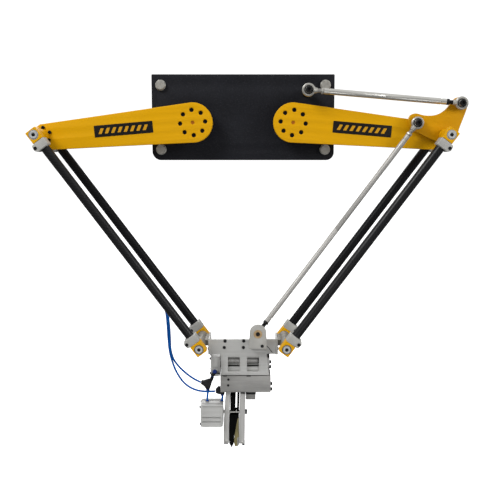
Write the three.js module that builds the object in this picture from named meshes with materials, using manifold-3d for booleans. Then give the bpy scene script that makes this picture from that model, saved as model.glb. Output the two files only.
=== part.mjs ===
// Two-arm planar parallel robot with a pneumatic gripper, millimetres, +Z up.
// Origin: centre of the base plate's back face. The robot's front faces -Y.
import * as THREE from 'three';
import { mergeVertices } from 'three/addons/utils/BufferGeometryUtils.js';
import Module from 'manifold-3d';

const wasm = await Module();
wasm.setup();

// ---- driving dimensions -------------------------------------------------
const PLATE_W = 372, PLATE_H = 173, PLATE_T = 15;   // base plate
const BOLT_DX = 335, BOLT_DZ = 129.5;               // mounting bolt spacing
const SHOULDER_X = 100, SHOULDER_Z = -12;           // shoulder axes
const ARM_L = 300, ARM_DEG = -4.9;                  // upper arm length and rest angle
const WRIST_X = 86.7;                               // half the wrist spacing
const FOREARM_L = 523.15;                           // forearm pivot to pivot
const LINK_A = [28.4, 62.2];                        // shoulder -> tie rod post, elbow -> bell crank top pivot
const LINK_B = [-56.6, 24.0];                       // elbow -> bell crank lower pivot, wrist -> platform lug
const ARM_Y0 = -58, ARM_Y1 = -42;                   // upper arm plate
const FRONT_Y = -112.5, BACK_Y = 12.5;              // forearm tube planes
const KNUCKLE_T = 25, KNUCKLE_W = 22;               // forearm end knuckles
const TUBE_R = 9;                                   // forearm tube radius
const SHAFT_R = 6.8, BORE_R = 7.4;                  // joint shafts and their bores
const ROD_Y = -81;                                  // tie rod plane
const CRANK_Y0 = -72, CRANK_Y1 = -62;               // bell crank plate
const PLAT_Y0 = -77.5, PLAT_Y1 = -69.5;             // platform plate
const HOSE_R = 2;                                   // air hose radius
const GAP = 0.3;

// ---- derived points (x, z) ----------------------------------------------
const rad = Math.PI / 180;
const SR = [SHOULDER_X, SHOULDER_Z], SL = [-SHOULDER_X, SHOULDER_Z];
const ER = [SHOULDER_X + ARM_L * Math.cos(ARM_DEG * rad), SHOULDER_Z + ARM_L * Math.sin(ARM_DEG * rad)];
const EL = [-ER[0], ER[1]];
const WRIST_Z = ER[1] - Math.sqrt(FOREARM_L ** 2 - (ER[0] - WRIST_X) ** 2);
const WR = [WRIST_X, WRIST_Z], WL = [-WRIST_X, WRIST_Z];
const add2 = (a, b) => [a[0] + b[0], a[1] + b[1]];
const POST = add2(SR, LINK_A), CRANK_TOP = add2(ER, LINK_A);
const CRANK_LOW = add2(ER, LINK_B), LUG = add2(WR, LINK_B);

// ---- solids ---------------------------------------------------------------
function solid(geometry) {
  geometry.deleteAttribute('normal');
  geometry.deleteAttribute('uv');
  const g = mergeVertices(geometry.index ? geometry.toNonIndexed() : geometry, 1e-4);
  return new wasm.Manifold(new wasm.Mesh({
    numProp: 3,
    vertProperties: new Float32Array(g.attributes.position.array),
    triVerts: new Uint32Array(g.index.array),
  }));
}
const union = (...s) => s.reduce((a, b) => a.add(b));
const cut = (a, ...s) => s.reduce((x, b) => x.subtract(b), a);

// outline in the X-Z plane, given thickness from y0 (front) to y1 (back)
function plate(points, y0, y1) {
  const g = new THREE.ExtrudeGeometry(new THREE.Shape(points.map(([x, z]) => new THREE.Vector2(x, z))),
    { depth: y1 - y0, bevelEnabled: false, steps: 1, curveSegments: 6 });
  g.rotateX(Math.PI / 2).translate(0, y1, 0);
  return solid(g);
}
function box(x0, x1, y0, y1, z0, z1) {
  return solid(new THREE.BoxGeometry(x1 - x0, y1 - y0, z1 - z0).translate((x0 + x1) / 2, (y0 + y1) / 2, (z0 + z1) / 2));
}
// cylinder along Y through (x, z)
function cylY(c, r, y0, y1, n = 16) {
  return solid(new THREE.CylinderGeometry(r, r, y1 - y0, n).translate(c[0], (y0 + y1) / 2, c[1]));
}
// cylinder between two 3-D points
function rod(a, b, r, n = 16) {
  const A = new THREE.Vector3(...a), B = new THREE.Vector3(...b), d = B.clone().sub(A), l = d.length();
  const q = new THREE.Quaternion().setFromUnitVectors(new THREE.Vector3(0, 1, 0), d.normalize());
  const g = new THREE.CylinderGeometry(r, r, l, n);
  g.applyQuaternion(q).translate(...A.add(B).multiplyScalar(0.5).toArray());
  return solid(g);
}
// arc of points around c from angle a to b (degrees)
function arc(c, r, a, b, n) {
  const out = [];
  for (let i = 0; i <= n; i++) {
    const t = (a + (b - a) * i / n) * rad;
    out.push([c[0] + r * Math.cos(t), c[1] + r * Math.sin(t)]);
  }
  return out;
}
const mirror = (pts) => pts.map(([x, z]) => [-x, z]).reverse();
// local (along, across) coordinates to world, from origin o along unit vector u
const local = (o, u, pts) => pts.map(([a, c]) => [o[0] + u[0] * a - u[1] * c, o[1] + u[1] * a + u[0] * c]);
const unit = (a, b) => { const d = [b[0] - a[0], b[1] - a[1]], l = Math.hypot(...d); return [d[0] / l, d[1] / l]; };

// ---- scene ----------------------------------------------------------------
const robot = new THREE.Group();
robot.name = 'parallel_robot';
const material = (color, roughness, metalness) => new THREE.MeshStandardMaterial({ color, roughness, metalness });
const PLATE_BLACK = material(0x23262d, 0.6, 0.3), YELLOW = material(0xdaa00a, 0.4, 0.2), CARBON = material(0x141414, 0.35, 0.1);
const COLLAR_GREY = material(0xbebeb9, 0.4, 0.8), STEEL = material(0xb8b6b0, 0.3, 0.95), ZINC = material(0x9b9a92, 0.45, 0.9);
const ALUMINIUM = material(0xa5a5a0, 0.42, 0.85), BLACK_STEEL = material(0x18181a, 0.45, 0.7), BLUE = material(0x0050be, 0.35, 0);
const BLACK_PLASTIC = material(0x121214, 0.45, 0), RUBBER = material(0x0c0c0c, 0.75, 0), PAD = material(0x9a9468, 0.6, 0);
const MOTOR = material(0x2a2c30, 0.5, 0.4);
function node(name, s, mat) {
  const m = s.getMesh(), n = m.numProp, v = new Float32Array(m.vertProperties.length / n * 3);
  for (let i = 0; i < v.length / 3; i++) v.set(m.vertProperties.subarray(i * n, i * n + 3), i * 3);
  const g = new THREE.BufferGeometry();
  g.setAttribute('position', new THREE.BufferAttribute(v, 3));
  g.setIndex(new THREE.BufferAttribute(new Uint32Array(m.triVerts), 1));
  g.computeVertexNormals();
  const mesh = new THREE.Mesh(g, mat);
  mesh.name = name;
  robot.add(mesh);
}

// ---- base -----------------------------------------------------------------
{
  const hw = PLATE_W / 2, hh = PLATE_H / 2;
  const outline = [[-hw, hh - 2], [-hw, -hh + 20], ...arc([-hw + 20, -hh + 18], 18, 190, 262, 3), [-hw + 24, -hh],
    [hw - 20, -hh], ...arc([hw - 16, -hh + 16], 16, 280, 350, 3), [hw, -hh + 18], [hw, hh - 2], [hw - 2, hh], [-hw + 2, hh]];
  let s = plate(outline, -PLATE_T, 0);
  // each gearbox sits in a stepped seat: a through hole for its nose and a counterbore for its flange
  for (const c of [SR, SL]) s = cut(s, cylY(c, 35.5, -20, 5, 28), cylY(c, 42.5, -9.6, 5, 28));
  const corners = [[-1, 1, 'top_left'], [1, 1, 'top_right'], [-1, -1, 'bottom_left'], [1, -1, 'bottom_right']];
  for (const [sx, sz, name] of corners) {
    const c = [sx * BOLT_DX / 2, sz * BOLT_DZ / 2];
    s = cut(s, cylY(c, 6.5, -20, 5, 12));
    node('mounting_bolt_' + name, union(cylY(c, 10.9, -PLATE_T - GAP - 7.5, -PLATE_T - GAP, 6), cylY(c, 5.8, -PLATE_T - GAP - 1, -0.6, 12)), STEEL);
  }
  node('base_plate', s, PLATE_BLACK);
  for (const [c, name] of [[SL, 'left'], [SR, 'right']]) {
    // gearbox nose in the plate, gearbox body and square servo motor behind it
    node(name + '_geared_motor', union(cylY(c, 35, -20, -9, 24), cylY(c, 42, -9.3, 46, 24),
      box(c[0] - 29, c[0] + 29, 45, 112, c[1] - 29, c[1] + 29), box(c[0] - 13, c[0] + 13, 70, 96, c[1] + 28, c[1] + 41)), MOTOR);
  }
  node('tie_rod_post', union(cylY(POST, 9, -74.6, -PLATE_T - GAP, 16), cylY(POST, 3.9, -88.5, -74, 12), cylY(POST, 6.5, -95.5, -88, 16)), BLACK_STEEL);
}

// ---- upper arms -------------------------------------------------------------
{
  // outline along the arm: hub, tapering blade, rounded elbow end
  const blade = [...arc([0, 0], 39.6, 86, 268, 14).map(([a, c]) => [a, c]), [150, -34], [283, -29.5], [312, -16.5], [318.5, -8],
    [320.5, 0], [319, 8], [312, 17], [303, 22.6], [150, 31.2]];
  for (const [sh, el, side] of [[SR, ER, 'right'], [SL, EL, 'left']]) {
    const u = unit(sh, el), sgn = side === 'right' ? 1 : -1;
    const pts = local(sh, u, blade.map(([a, c]) => [a, c * sgn]));
    let s = plate(sgn > 0 ? pts : pts.reverse(), ARM_Y0, ARM_Y1);
    const holes = [];
    for (let i = 0; i < 8; i++) holes.push(...local(sh, u, [[25 * Math.cos(i * 45 * rad), 25 * Math.sin(i * 45 * rad)]]));
    for (const h of holes) s = cut(s, cylY(h, 4.3, -59, -41, 10));
    s = cut(s, cylY(el, BORE_R, -60, -40, 16));
    node(side + '_upper_arm', s, YELLOW);
    node(side + '_output_flange', cylY(sh, 36, ARM_Y1 + GAP, -20 - GAP, 24), BLACK_STEEL);
    node(side + '_elbow_housing', cut(union(cylY(el, 23, ARM_Y1 + GAP, -35, 20), cylY(el, 15.5, -36, -0.5, 20)), cylY(el, BORE_R, -45, 2, 16)), ALUMINIUM);
  }
  // the left elbow shaft is held in the arm and stops short of both knuckles
  node('left_elbow_shaft', union(cylY(EL, SHAFT_R, -99.4, -0.6, 16), cylY(EL, 10.5, -99.4, ARM_Y0 - GAP, 16)), STEEL);
}

// ---- bell crank and tie rods -------------------------------------------------
{
  const o = ER;
  const profile = [[326.7, -13.4], [327.3, -3.7], [330.8, 2.2], [340.6, 5.3], [357.2, 1.6], [372.6, 1.2], [386.7, 4.6], [398.2, 12], [405, 20],
    [411.5, 28.3], [418, 35], [427.4, 37], [436, 33.5], [440.8, 26], [440.6, 15], [433.6, -5.6], [426.6, -24.9], [422.7, -40.7],
    [409.2, -49.5], [393.4, -50.5], [378.1, -47.7], [339.1, -29], [329.5, -21.8]].reverse();
  node('bell_crank', cut(plate(profile, CRANK_Y0, CRANK_Y1), cylY(ER, BORE_R, -75, -60, 16), cylY(CRANK_LOW, 4.4, -75, -60, 12), cylY(CRANK_TOP, 4.4, -75, -60, 12)), YELLOW);
  const pivotBolt = (c) => union(cylY(c, 3.9, -89, -62.4, 12), cylY(c, 7, -74.6, -72.3, 14), cylY(c, 6.5, -95.5, -88, 16));
  node('crank_top_bolt', pivotBolt(CRANK_TOP), BLACK_STEEL);
  node('crank_lower_bolt', pivotBolt(CRANK_LOW), BLACK_STEEL);
  const tieRod = (name, a, b, rr, ra) => {
    const u = unit(a, b), L = Math.hypot(b[0] - a[0], b[1] - a[1]);
    const at = (s) => { const [p] = local(a, u, [[s, 0]]); return [p[0], ROD_Y, p[1]]; };
    const end = (c, s0, s1) => cut(union(cylY(c, rr, -87.4, -75, 20), rod(at(s0), at(s1), 4.4, 10)), cylY(c, 4.6, -90, -70, 12));
    node(name + '_end_a', end(a, rr - 3, 29.5), ZINC);
    node(name + '_end_b', end(b, L - rr + 3, L - 29.5), ZINC);
    node(name + '_sleeve', rod(at(29.8), at(L - 29.8), ra, 12), STEEL);
  };
  tieRod('upper_tie_rod', POST, CRANK_TOP, 13, 6);
  tieRod('lower_tie_rod', CRANK_LOW, LUG, 12.3, 5.2);
  // floating shaft of the right elbow, with the spacers that set the crank off the arm and the front knuckle
  node('right_elbow_shaft', union(cylY(ER, SHAFT_R, -126.8, 26.8, 16), cylY(ER, 10.5, -99.6, -72.4, 16), cylY(ER, 10.5, -61.6, -58.4, 16)), STEEL);
}

// ---- forearms -----------------------------------------------------------------
{
  // clamp collar outline, along the tube from the pivot and across to the outer side
  const collar = [[13.6, -12], [13.6, 12], [15, 16.5], [25, 18], [31.5, 13], [30, 9.5], [30, -12]];
  const knuckle = [[-10.8, -KNUCKLE_W / 2], [13.3, -KNUCKLE_W / 2], [13.3, KNUCKLE_W / 2], [-10.8, KNUCKLE_W / 2]];
  for (const [el, wr, side] of [[ER, WR, 'right'], [EL, WL, 'left']]) {
    const u = unit(el, wr), L = FOREARM_L, out = side === 'right' ? 1 : -1;
    for (const [y, place] of [[FRONT_Y, 'front'], [BACK_Y, 'back']]) {
      const ring = (o, v, sg) => {
        const p = local(o, v, collar.map(([a, c]) => [a, c * sg]));
        return plate(sg > 0 ? p.reverse() : p, y - 12, y + 12);
      };
      const back = [-u[0], -u[1]];
      const at = (s) => { const [p] = local(el, u, [[s, 0]]); return [p[0], y, p[1]]; };
      node(side + '_' + place + '_tube', union(rod(at(15), at(L - 15), TUBE_R, 18), ring(el, u, out), ring(wr, back, -out)), CARBON);
      for (const [o, v, end] of [[el, u, 'elbow'], [wr, back, 'wrist']]) {
        let s = plate(local(o, v, knuckle), y - KNUCKLE_T / 2, y + KNUCKLE_T / 2);
        if (!(side === 'left' && end === 'elbow')) s = cut(s, cylY(o, BORE_R, y - 20, y + 20, 16));
        node(side + '_' + place + '_' + end + '_knuckle', s, YELLOW);
      }
    }
    node(side + '_wrist_shaft', union(cylY(wr, SHAFT_R, -126.8, 26.8, 16), cylY(wr, 10.5, -99.6, -95.4, 16), cylY(wr, 10.5, -4.6, -0.4, 16)), STEEL);
  }
}

// ---- platform -------------------------------------------------------------------
{
  const tee = [[-70.6, -448], [-70.6, -478], [-46, -478], [-44.6, -522.5], [53.5, -522.5], [48.5, -478], [70.6, -478], [70.6, -448]];
  let s = plate(tee, PLAT_Y0, PLAT_Y1);
  s = cut(s, box(-30.8, -7, -90, -60, -514.8, -484.6), box(8.2, 32, -90, -60, -514.8, -484.6));
  node('platform_plate', s, ALUMINIUM);
  for (const [wr, sg, side] of [[WR, 1, 'right'], [WL, -1, 'left']]) {
    const x = (a, b) => sg > 0 ? [a, b] : [-b, -a];
    const wall = box(...x(67.4, 70.6), PLAT_Y1 + GAP, -8, -478, -448);
    const web = box(...x(69, 79), -66, -8, wr[1] - 6, wr[1] + 6);
    node(side + '_end_bracket', cut(union(wall, web, cylY(wr, 11, -95, -5, 18)), cylY(wr, BORE_R, -100, 2, 16)), ALUMINIUM);
  }
  // lug: pad on the front of the plate, one ear in front of the rod end, its pin through the rod end
  const ear = [[12.4, -463.5], [12.4, -447.6], [15.5, -430], [18.6, -423], [23.5, -418], [LUG[0], -415.6], [37, -418], [42, -423], [45, -431],
    [48, -447.6], [48, -463.5]].reverse();
  node('clevis_lug', union(plate(ear, -94, -88.2), box(12.4, 48, -89, PLAT_Y0 - GAP, -463.5, -448.4), cylY(LUG, 3.9, -89, -74.5, 12)), ALUMINIUM);
  // upper block with a channel for the upper cylinder's rod
  node('upper_block', cut(box(-44.2, 54.3, PLAT_Y1 + GAP, -30, -522, -484), box(-50, 46, -72, -54, -501.5, -488), box(-50, 46, -72, -60, -510.5, -503.5)), ALUMINIUM);
  node('upper_cylinder', cut(box(-67.2, -46.6, -72, -30, -526, -485), rod([-56, -61.5, -494.7], [-40, -61.5, -494.7], 5.4, 12)), ALUMINIUM);
  node('lower_block', box(-46.5, 56.4, PLAT_Y0, -28, -558.5, -524.2), ALUMINIUM);
  node('guide_rail', box(-24, 56, -53, -46, -563, -558.8), BLACK_STEEL);
  // gripper: fixed left bar with its cylinder
  const bar = [[-35.9, -563.4], [-37.6, -580], [-40.6, -632], [-40.9, -670], [-29.4, -670], [-29.2, -632], [-26.6, -563.4]];
  const headL = box(-35.9, -26.6, -70, -55.5, -565, -558.8);
  node('left_finger', cut(union(plate(bar, -70, -45), headL), rod([-50, -57.5, -606], [-20, -57.5, -606], 4.2, 12)), ALUMINIUM);
  // each jaw pad is notched round the gripper cylinder's rod
  const rodNotch = [box(-32, -5, -70, -57.5, -610.2, -601.8), rod([-35, -57.5, -606], [0, -57.5, -606], 4.2, 12)];
  node('left_jaw', cut(plate([[-26.4, -566], [-26.8, -601], [-28.0, -612], [-28.8, -632], [-29, -671], [-24, -681], [-19.7, -669], [-19.2, -612], [-15.6, -603], [-15.2, -566]], -68, -47), ...rodNotch), RUBBER);
  const cyl = [[-88, -585], [-88.3, -631.5], [-41.3, -631.5], [-38.5, -585]];
  node('lower_cylinder', cut(plate(cyl, -80, -34), rod([-62, -57.5, -606], [-30, -57.5, -606], 4.2, 12)), ALUMINIUM);
  // push-in fittings
  node('fitting_upper', plate([[-86.3, -540.2], [-86.4, -547.1], [-80.2, -551.8], [-77.1, -557.7], [-68.8, -557.7], [-66.7, -551.3], [-62.5, -537], [-70.8, -535.1]], -62, -52), BLACK_PLASTIC);
  node('fitting_lower', plate([[-57.6, -557.5], [-57.4, -566], [-50.5, -568.5], [-38.2, -569], [-38.2, -560], [-47.3, -559], [-47.3, -551.5], [-52.2, -551.5]], -62, -52), BLACK_PLASTIC);
}

// ---- moving gripper half ----------------------------------------------------------
{
  const bar = [[-6.4, -563.6], [-8.4, -612], [-8.7, -671], [3, -671], [3.7, -612], [4.8, -563.6]];
  node('right_finger', cut(plate(bar, -70, -45), rod([-20, -57.5, -606], [20, -57.5, -606], 4.2, 12)), ALUMINIUM);
  node('guide_carriage', cut(box(5.2, 25.6, -62, -37, -579, -559.6), box(0, 30, -53.6, -45.4, -563.6, -550)), ALUMINIUM);
  const rodNotch = [box(-32, -5, -70, -57.5, -610.2, -601.8), rod([-35, -57.5, -606], [0, -57.5, -606], 4.2, 12)];
  node('right_jaw_pad', cut(plate([[-7.2, -566], [-8.9, -612], [-9, -676], [-17.4, -678], [-19.2, -669], [-18.7, -660], [-18.7, -612], [-12.6, -603], [-12.2, -566]], -68, -47), ...rodNotch), PAD);
  node('lower_piston_rod', union(rod([-60, -57.5, -606], [4.5, -57.5, -606], 3.5, 12), rod([4.4, -57.5, -606], [8.4, -57.5, -606], 5.4, 12)), STEEL);
  node('upper_piston_rod', rod([-55, -61.5, -494.7], [30, -61.5, -494.7], 4.8, 12), STEEL);
}

// ---- air hoses -----------------------------------------------------------------------
{
  const hose = (pts, n) => {
    const curve = new THREE.CatmullRomCurve3(pts.map((p) => new THREE.Vector3(...p)), false, 'centripetal');
    const ring = new THREE.Shape();
    for (let i = 0; i < 8; i++) {
      const t = i * Math.PI / 4, x = HOSE_R * Math.cos(t), y = HOSE_R * Math.sin(t);
      i ? ring.lineTo(x, y) : ring.moveTo(x, y);
    }
    ring.closePath();
    return solid(new THREE.ExtrudeGeometry(ring, { steps: n, extrudePath: curve, bevelEnabled: false }));
  };
  node('air_hose_upper', hose([[-154.4, -101.2, -377.4], [-153.2, -97.8, -380], [-151.6, -92.5, -386], [-150, -88, -394], [-148.6, -84.6, -407], [-146.4, -81.1, -422],
    [-145.2, -77.7, -444.7], [-144.9, -74.2, -468.5], [-140.1, -70.8, -489.6], [-130.2, -67.3, -506.3], [-117.5, -63.9, -520.8], [-102.5, -60.4, -534], [-87.9, -57.4, -543]], 36), BLUE);
  node('air_hose_lower', hose([[-159.5, -101.2, -370.6], [-158.4, -96.8, -373.6], [-156.6, -89.5, -381], [-154.6, -83, -393], [-152.8, -79.2, -416], [-151.6, -77, -447], [-148.8, -75, -473.3],
    [-144.9, -73.5, -493.3], [-140.1, -72, -510.2], [-132.5, -70, -525.7], [-121.2, -67.6, -541.3], [-107.2, -64.6, -553], [-91.5, -61, -560], [-76, -58, -562.6], [-58.2, -57, -562.4]], 44), BLUE);
}

export default robot;
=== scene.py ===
import bpy, bmesh, math
from mathutils import Vector, Matrix


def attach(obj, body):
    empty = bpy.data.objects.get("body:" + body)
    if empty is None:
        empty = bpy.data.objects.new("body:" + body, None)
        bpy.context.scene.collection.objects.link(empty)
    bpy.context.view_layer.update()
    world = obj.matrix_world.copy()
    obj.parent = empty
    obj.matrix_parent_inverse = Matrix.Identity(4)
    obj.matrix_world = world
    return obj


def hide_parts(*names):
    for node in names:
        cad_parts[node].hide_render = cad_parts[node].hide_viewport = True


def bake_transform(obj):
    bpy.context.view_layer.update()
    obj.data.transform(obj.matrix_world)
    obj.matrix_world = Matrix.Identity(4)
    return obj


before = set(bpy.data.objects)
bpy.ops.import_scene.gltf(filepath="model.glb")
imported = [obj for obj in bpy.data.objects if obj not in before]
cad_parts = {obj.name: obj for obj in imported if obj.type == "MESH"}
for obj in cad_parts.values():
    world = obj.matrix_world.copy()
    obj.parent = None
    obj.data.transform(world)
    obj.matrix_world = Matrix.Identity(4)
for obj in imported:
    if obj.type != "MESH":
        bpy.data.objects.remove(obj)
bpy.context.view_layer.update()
sc = bpy.context.scene

# ------------------------------------------------------------------ camera
cam_data = bpy.data.cameras.new("camera")
cam_data.lens = 56.16
cam_data.sensor_width = 36.0
cam_data.clip_end = 50.0
cam = bpy.data.objects.new("camera", cam_data)
sc.collection.objects.link(cam)
cam.location = (0.01412, -1.6274, -0.07398)
cam.rotation_euler = (math.radians(90 - 7.017), 0.0, 0.0)
sc.camera = cam

# ------------------------------------------------------------------ shared dimensions, millimetres
rad = math.pi / 180
SHX, SHZ, ARM_L, ARM_DEG, WX, FORE_L = 100.0, -12.0, 300.0, -4.9, 86.7, 523.15
LINK_A, LINK_B = (28.4, 62.2), (-56.6, 24.0)
SR, SL = (SHX, SHZ), (-SHX, SHZ)
ER = (SHX + ARM_L * math.cos(ARM_DEG * rad), SHZ + ARM_L * math.sin(ARM_DEG * rad))
EL = (-ER[0], ER[1])
WZ = ER[1] - math.sqrt(FORE_L ** 2 - (ER[0] - WX) ** 2)
WR, WL = (WX, WZ), (-WX, WZ)
POST = (SR[0] + LINK_A[0], SR[1] + LINK_A[1])
CRANK_TOP = (ER[0] + LINK_A[0], ER[1] + LINK_A[1])
CRANK_LOW = (ER[0] + LINK_B[0], ER[1] + LINK_B[1])
LUG = (WR[0] + LINK_B[0], WR[1] + LINK_B[1])
ROD_Y = -81.0
FRONT = Vector((0, -1, 0))


def unit(a, b):
    d = Vector((b[0] - a[0], b[1] - a[1]))
    return d.normalized()


def axes(origin, z, x):
    """matrix whose local z points along z, local x as near x as it can"""
    z = Vector(z).normalized()
    x = Vector(x)
    x = (x - z * x.dot(z)).normalized()
    y = z.cross(x)
    m = Matrix((x, y, z)).transposed().to_4x4()
    m.translation = Vector(origin)
    return m


def facing_front(c, y, xdir=(1, 0, 0)):
    """local z towards the viewer at (x, y, z), local x along xdir"""
    return axes((c[0], y, c[1]), FRONT, xdir)


def facing_back(c, y, xdir=(1, 0, 0)):
    return axes((c[0], y, c[1]), -FRONT, xdir)


def arc(c, r, a, b, n):
    return [(c[0] + r * math.cos((a + (b - a) * i / n) * rad), c[1] + r * math.sin((a + (b - a) * i / n) * rad)) for i in range(n + 1)]


def circle(c, r, n=32):
    return [(c[0] + r * math.cos(2 * math.pi * i / n), c[1] + r * math.sin(2 * math.pi * i / n)) for i in range(n)]


def fillet(pts, r, n=6):
    """closed outline with rounded corners; r is a number or one per corner"""
    out = []
    k = len(pts)
    for i in range(k):
        p = Vector(pts[i]); a = Vector(pts[i - 1]); b = Vector(pts[(i + 1) % k])
        ri = r[i] if isinstance(r, (list, tuple)) else r
        u, v = (a - p), (b - p)
        lu, lv = u.length, v.length
        if ri <= 0 or lu < 1e-6 or lv < 1e-6:
            out.append(tuple(p)); continue
        u.normalize(); v.normalize()
        cosang = max(-1, min(1, u.dot(v)))
        ang = math.acos(cosang)
        if ang > math.pi - 0.05:
            out.append(tuple(p)); continue
        t = min(ri / math.tan(ang / 2), lu * 0.49, lv * 0.49)
        rr = t * math.tan(ang / 2)
        c = p + (u + v).normalized() * (rr / math.sin(ang / 2))
        s, e = p + u * t - c, p + v * t - c
        a0 = math.atan2(s.y, s.x); a1 = math.atan2(e.y, e.x)
        d = (a1 - a0 + math.pi) % (2 * math.pi) - math.pi
        for j in range(n + 1):
            q = a0 + d * j / n
            out.append((c.x + rr * math.cos(q), c.y + rr * math.sin(q)))
    return out


def smooth_loop(pts, per=6):
    """closed Catmull-Rom outline through pts"""
    out = []
    k = len(pts)
    for i in range(k):
        p0, p1, p2, p3 = (Vector(pts[(i + j) % k]) for j in (-1, 0, 1, 2))
        for j in range(per):
            t = j / per
            out.append(tuple(0.5 * ((2 * p1) + (p2 - p0) * t + (2 * p0 - 5 * p1 + 4 * p2 - p3) * t * t + (3 * p1 - p0 - 3 * p2 + p3) * t ** 3)))
    return out


class Piece:
    """collects geometry in millimetres and becomes one object in metres"""

    def __init__(self, name):
        self.name = name
        self.bm = bmesh.new()
        self.mats = []

    def m(self, material):
        if material not in self.mats:
            self.mats.append(material)
        return self.mats.index(material)

    def _merge(self, me, M, material, flip=False):
        me.transform(M)
        if M.determinant() < 0:
            me.flip_normals()
        n0 = len(self.bm.faces)
        self.bm.from_mesh(me)
        self.bm.faces.ensure_lookup_table()
        idx = self.m(material)
        for f in self.bm.faces[n0:]:
            f.material_index = idx
        bpy.data.meshes.remove(me)
        return self

    def _from_bm(self, b, M, material):
        bmesh.ops.remove_doubles(b, verts=b.verts, dist=1e-4)
        bmesh.ops.recalc_face_normals(b, faces=b.faces)
        me = bpy.data.meshes.new("tmp")
        b.to_mesh(me)
        b.free()
        return self._merge(me, M, material)

    def prism(self, loops, M, depth, material, bevel=0.6, segs=3):
        """outline loops (the first is the outside, the others are holes) pulled along local z from 0 to depth, all edges rounded"""
        cu = bpy.data.curves.new("tmp", "CURVE")
        cu.dimensions = "2D"
        cu.fill_mode = "BOTH"
        bevel = min(bevel, depth * 0.45)
        cu.extrude = depth / 2 - bevel
        cu.bevel_depth = bevel
        cu.bevel_resolution = segs - 1
        cu.offset = -bevel
        for lp in loops:
            sp = cu.splines.new("POLY")
            sp.points.add(len(lp) - 1)
            for i, p in enumerate(lp):
                sp.points[i].co = (p[0], p[1], 0, 1)
            sp.use_cyclic_u = True
        ob = bpy.data.objects.new("tmp", cu)
        sc.collection.objects.link(ob)
        dg = bpy.context.evaluated_depsgraph_get()
        me = bpy.data.meshes.new_from_object(ob.evaluated_get(dg))
        bpy.data.objects.remove(ob)
        bpy.data.curves.remove(cu)
        b = bmesh.new()
        b.from_mesh(me)
        bpy.data.meshes.remove(me)
        return self._from_bm(b, M @ Matrix.Translation((0, 0, depth / 2)), material)

    def lathe(self, profile, M, material, n=32, closed=False):
        """(radius, height) profile turned about local z"""
        b = bmesh.new()
        rings = []
        for r, z in profile:
            if r < 1e-6:
                rings.append([b.verts.new((0, 0, z))])
            else:
                rings.append([b.verts.new((r * math.cos(2 * math.pi * i / n), r * math.sin(2 * math.pi * i / n), z)) for i in range(n)])
        pairs = list(zip(rings, rings[1:]))
        if closed:
            pairs.append((rings[-1], rings[0]))
        for a, c in pairs:
            for i in range(n):
                j = (i + 1) % n
                if len(a) == 1 and len(c) == 1:
                    continue
                if len(a) == 1:
                    b.faces.new((a[0], c[i], c[j]))
                elif len(c) == 1:
                    b.faces.new((a[i], a[j], c[0]))
                else:
                    b.faces.new((a[i], a[j], c[j], c[i]))
        return self._from_bm(b, M, material)

    def tube(self, pts, r, material, n=16, caps=True, store=None):
        """round section swept along 3-D points"""
        b = bmesh.new()
        P = [Vector(p) for p in pts]
        T = [(P[min(i + 1, len(P) - 1)] - P[max(i - 1, 0)]).normalized() for i in range(len(P))]
        ref = Vector((0, 0, 1)) if abs(T[0].z) < 0.9 else Vector((1, 0, 0))
        u = (ref - T[0] * ref.dot(T[0])).normalized()
        rings = []
        for i, p in enumerate(P):
            if i:
                q = T[i - 1].rotation_difference(T[i])
                u = q @ u
                u = (u - T[i] * u.dot(T[i])).normalized()
            v = T[i].cross(u)
            rr = r[i] if isinstance(r, (list, tuple)) else r
            rings.append([b.verts.new(p + (u * math.cos(2 * math.pi * k / n) + v * math.sin(2 * math.pi * k / n)) * rr) for k in range(n)])
        for a, c in zip(rings, rings[1:]):
            for k in range(n):
                j = (k + 1) % n
                b.faces.new((a[k], a[j], c[j], c[k]))
        if caps:
            b.faces.new(rings[0][::-1])
            b.faces.new(rings[-1])
        return self._from_bm(b, Matrix.Identity(4), material)

    def box(self, x0, x1, y0, y1, z0, z1, material, bevel=0.8, segs=2):
        b = bmesh.new()
        bmesh.ops.create_cube(b, size=1.0, matrix=Matrix.Translation(((x0 + x1) / 2, (y0 + y1) / 2, (z0 + z1) / 2)) @ Matrix.Diagonal((x1 - x0, y1 - y0, z1 - z0, 1)))
        if bevel:
            bmesh.ops.bevel(b, geom=list(b.edges), offset=bevel, segments=segs, profile=0.5, affect="EDGES", clamp_overlap=True)
        return self._from_bm(b, Matrix.Identity(4), material)

    # ---- hardware, standing on local z = 0 of M
    def socket_screw(self, M, d=10.0, h=6.0, key=5.0, material=None, dark=None, n=28):
        r, k = d / 2, key / 2 / math.cos(math.pi / 6)
        b = bmesh.new()
        nn = 24
        def ring(fn, z):
            return [b.verts.new((*fn(i), z)) for i in range(nn)]
        circ = lambda R: (lambda i: (R * math.cos(2 * math.pi * i / nn), R * math.sin(2 * math.pi * i / nn)))
        def hexa(R):
            def fn(i):
                s, f = divmod(i, 4)
                a = (R * math.cos(s * math.pi / 3), R * math.sin(s * math.pi / 3))
                c = (R * math.cos((s + 1) * math.pi / 3), R * math.sin((s + 1) * math.pi / 3))
                return (a[0] + (c[0] - a[0]) * f / 4, a[1] + (c[1] - a[1]) * f / 4)
            return fn
        ch = min(0.12 * r + 0.2, h * 0.3)
        R = [ring(circ(r), 0), ring(circ(r), h - ch), ring(circ(r - ch * 0.35), h - ch * 0.3), ring(circ(r - ch), h), ring(hexa(k * 1.12), h), ring(hexa(k), h - 0.25), ring(hexa(k), h * 0.45)]
        for a, c in zip(R, R[1:]):
            for i in range(nn):
                j = (i + 1) % nn
                b.faces.new((a[i], a[j], c[j], c[i]))
        b.faces.new(R[-1])
        b.faces.new(R[0][::-1])
        return self._from_bm(b, M, material)

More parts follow.
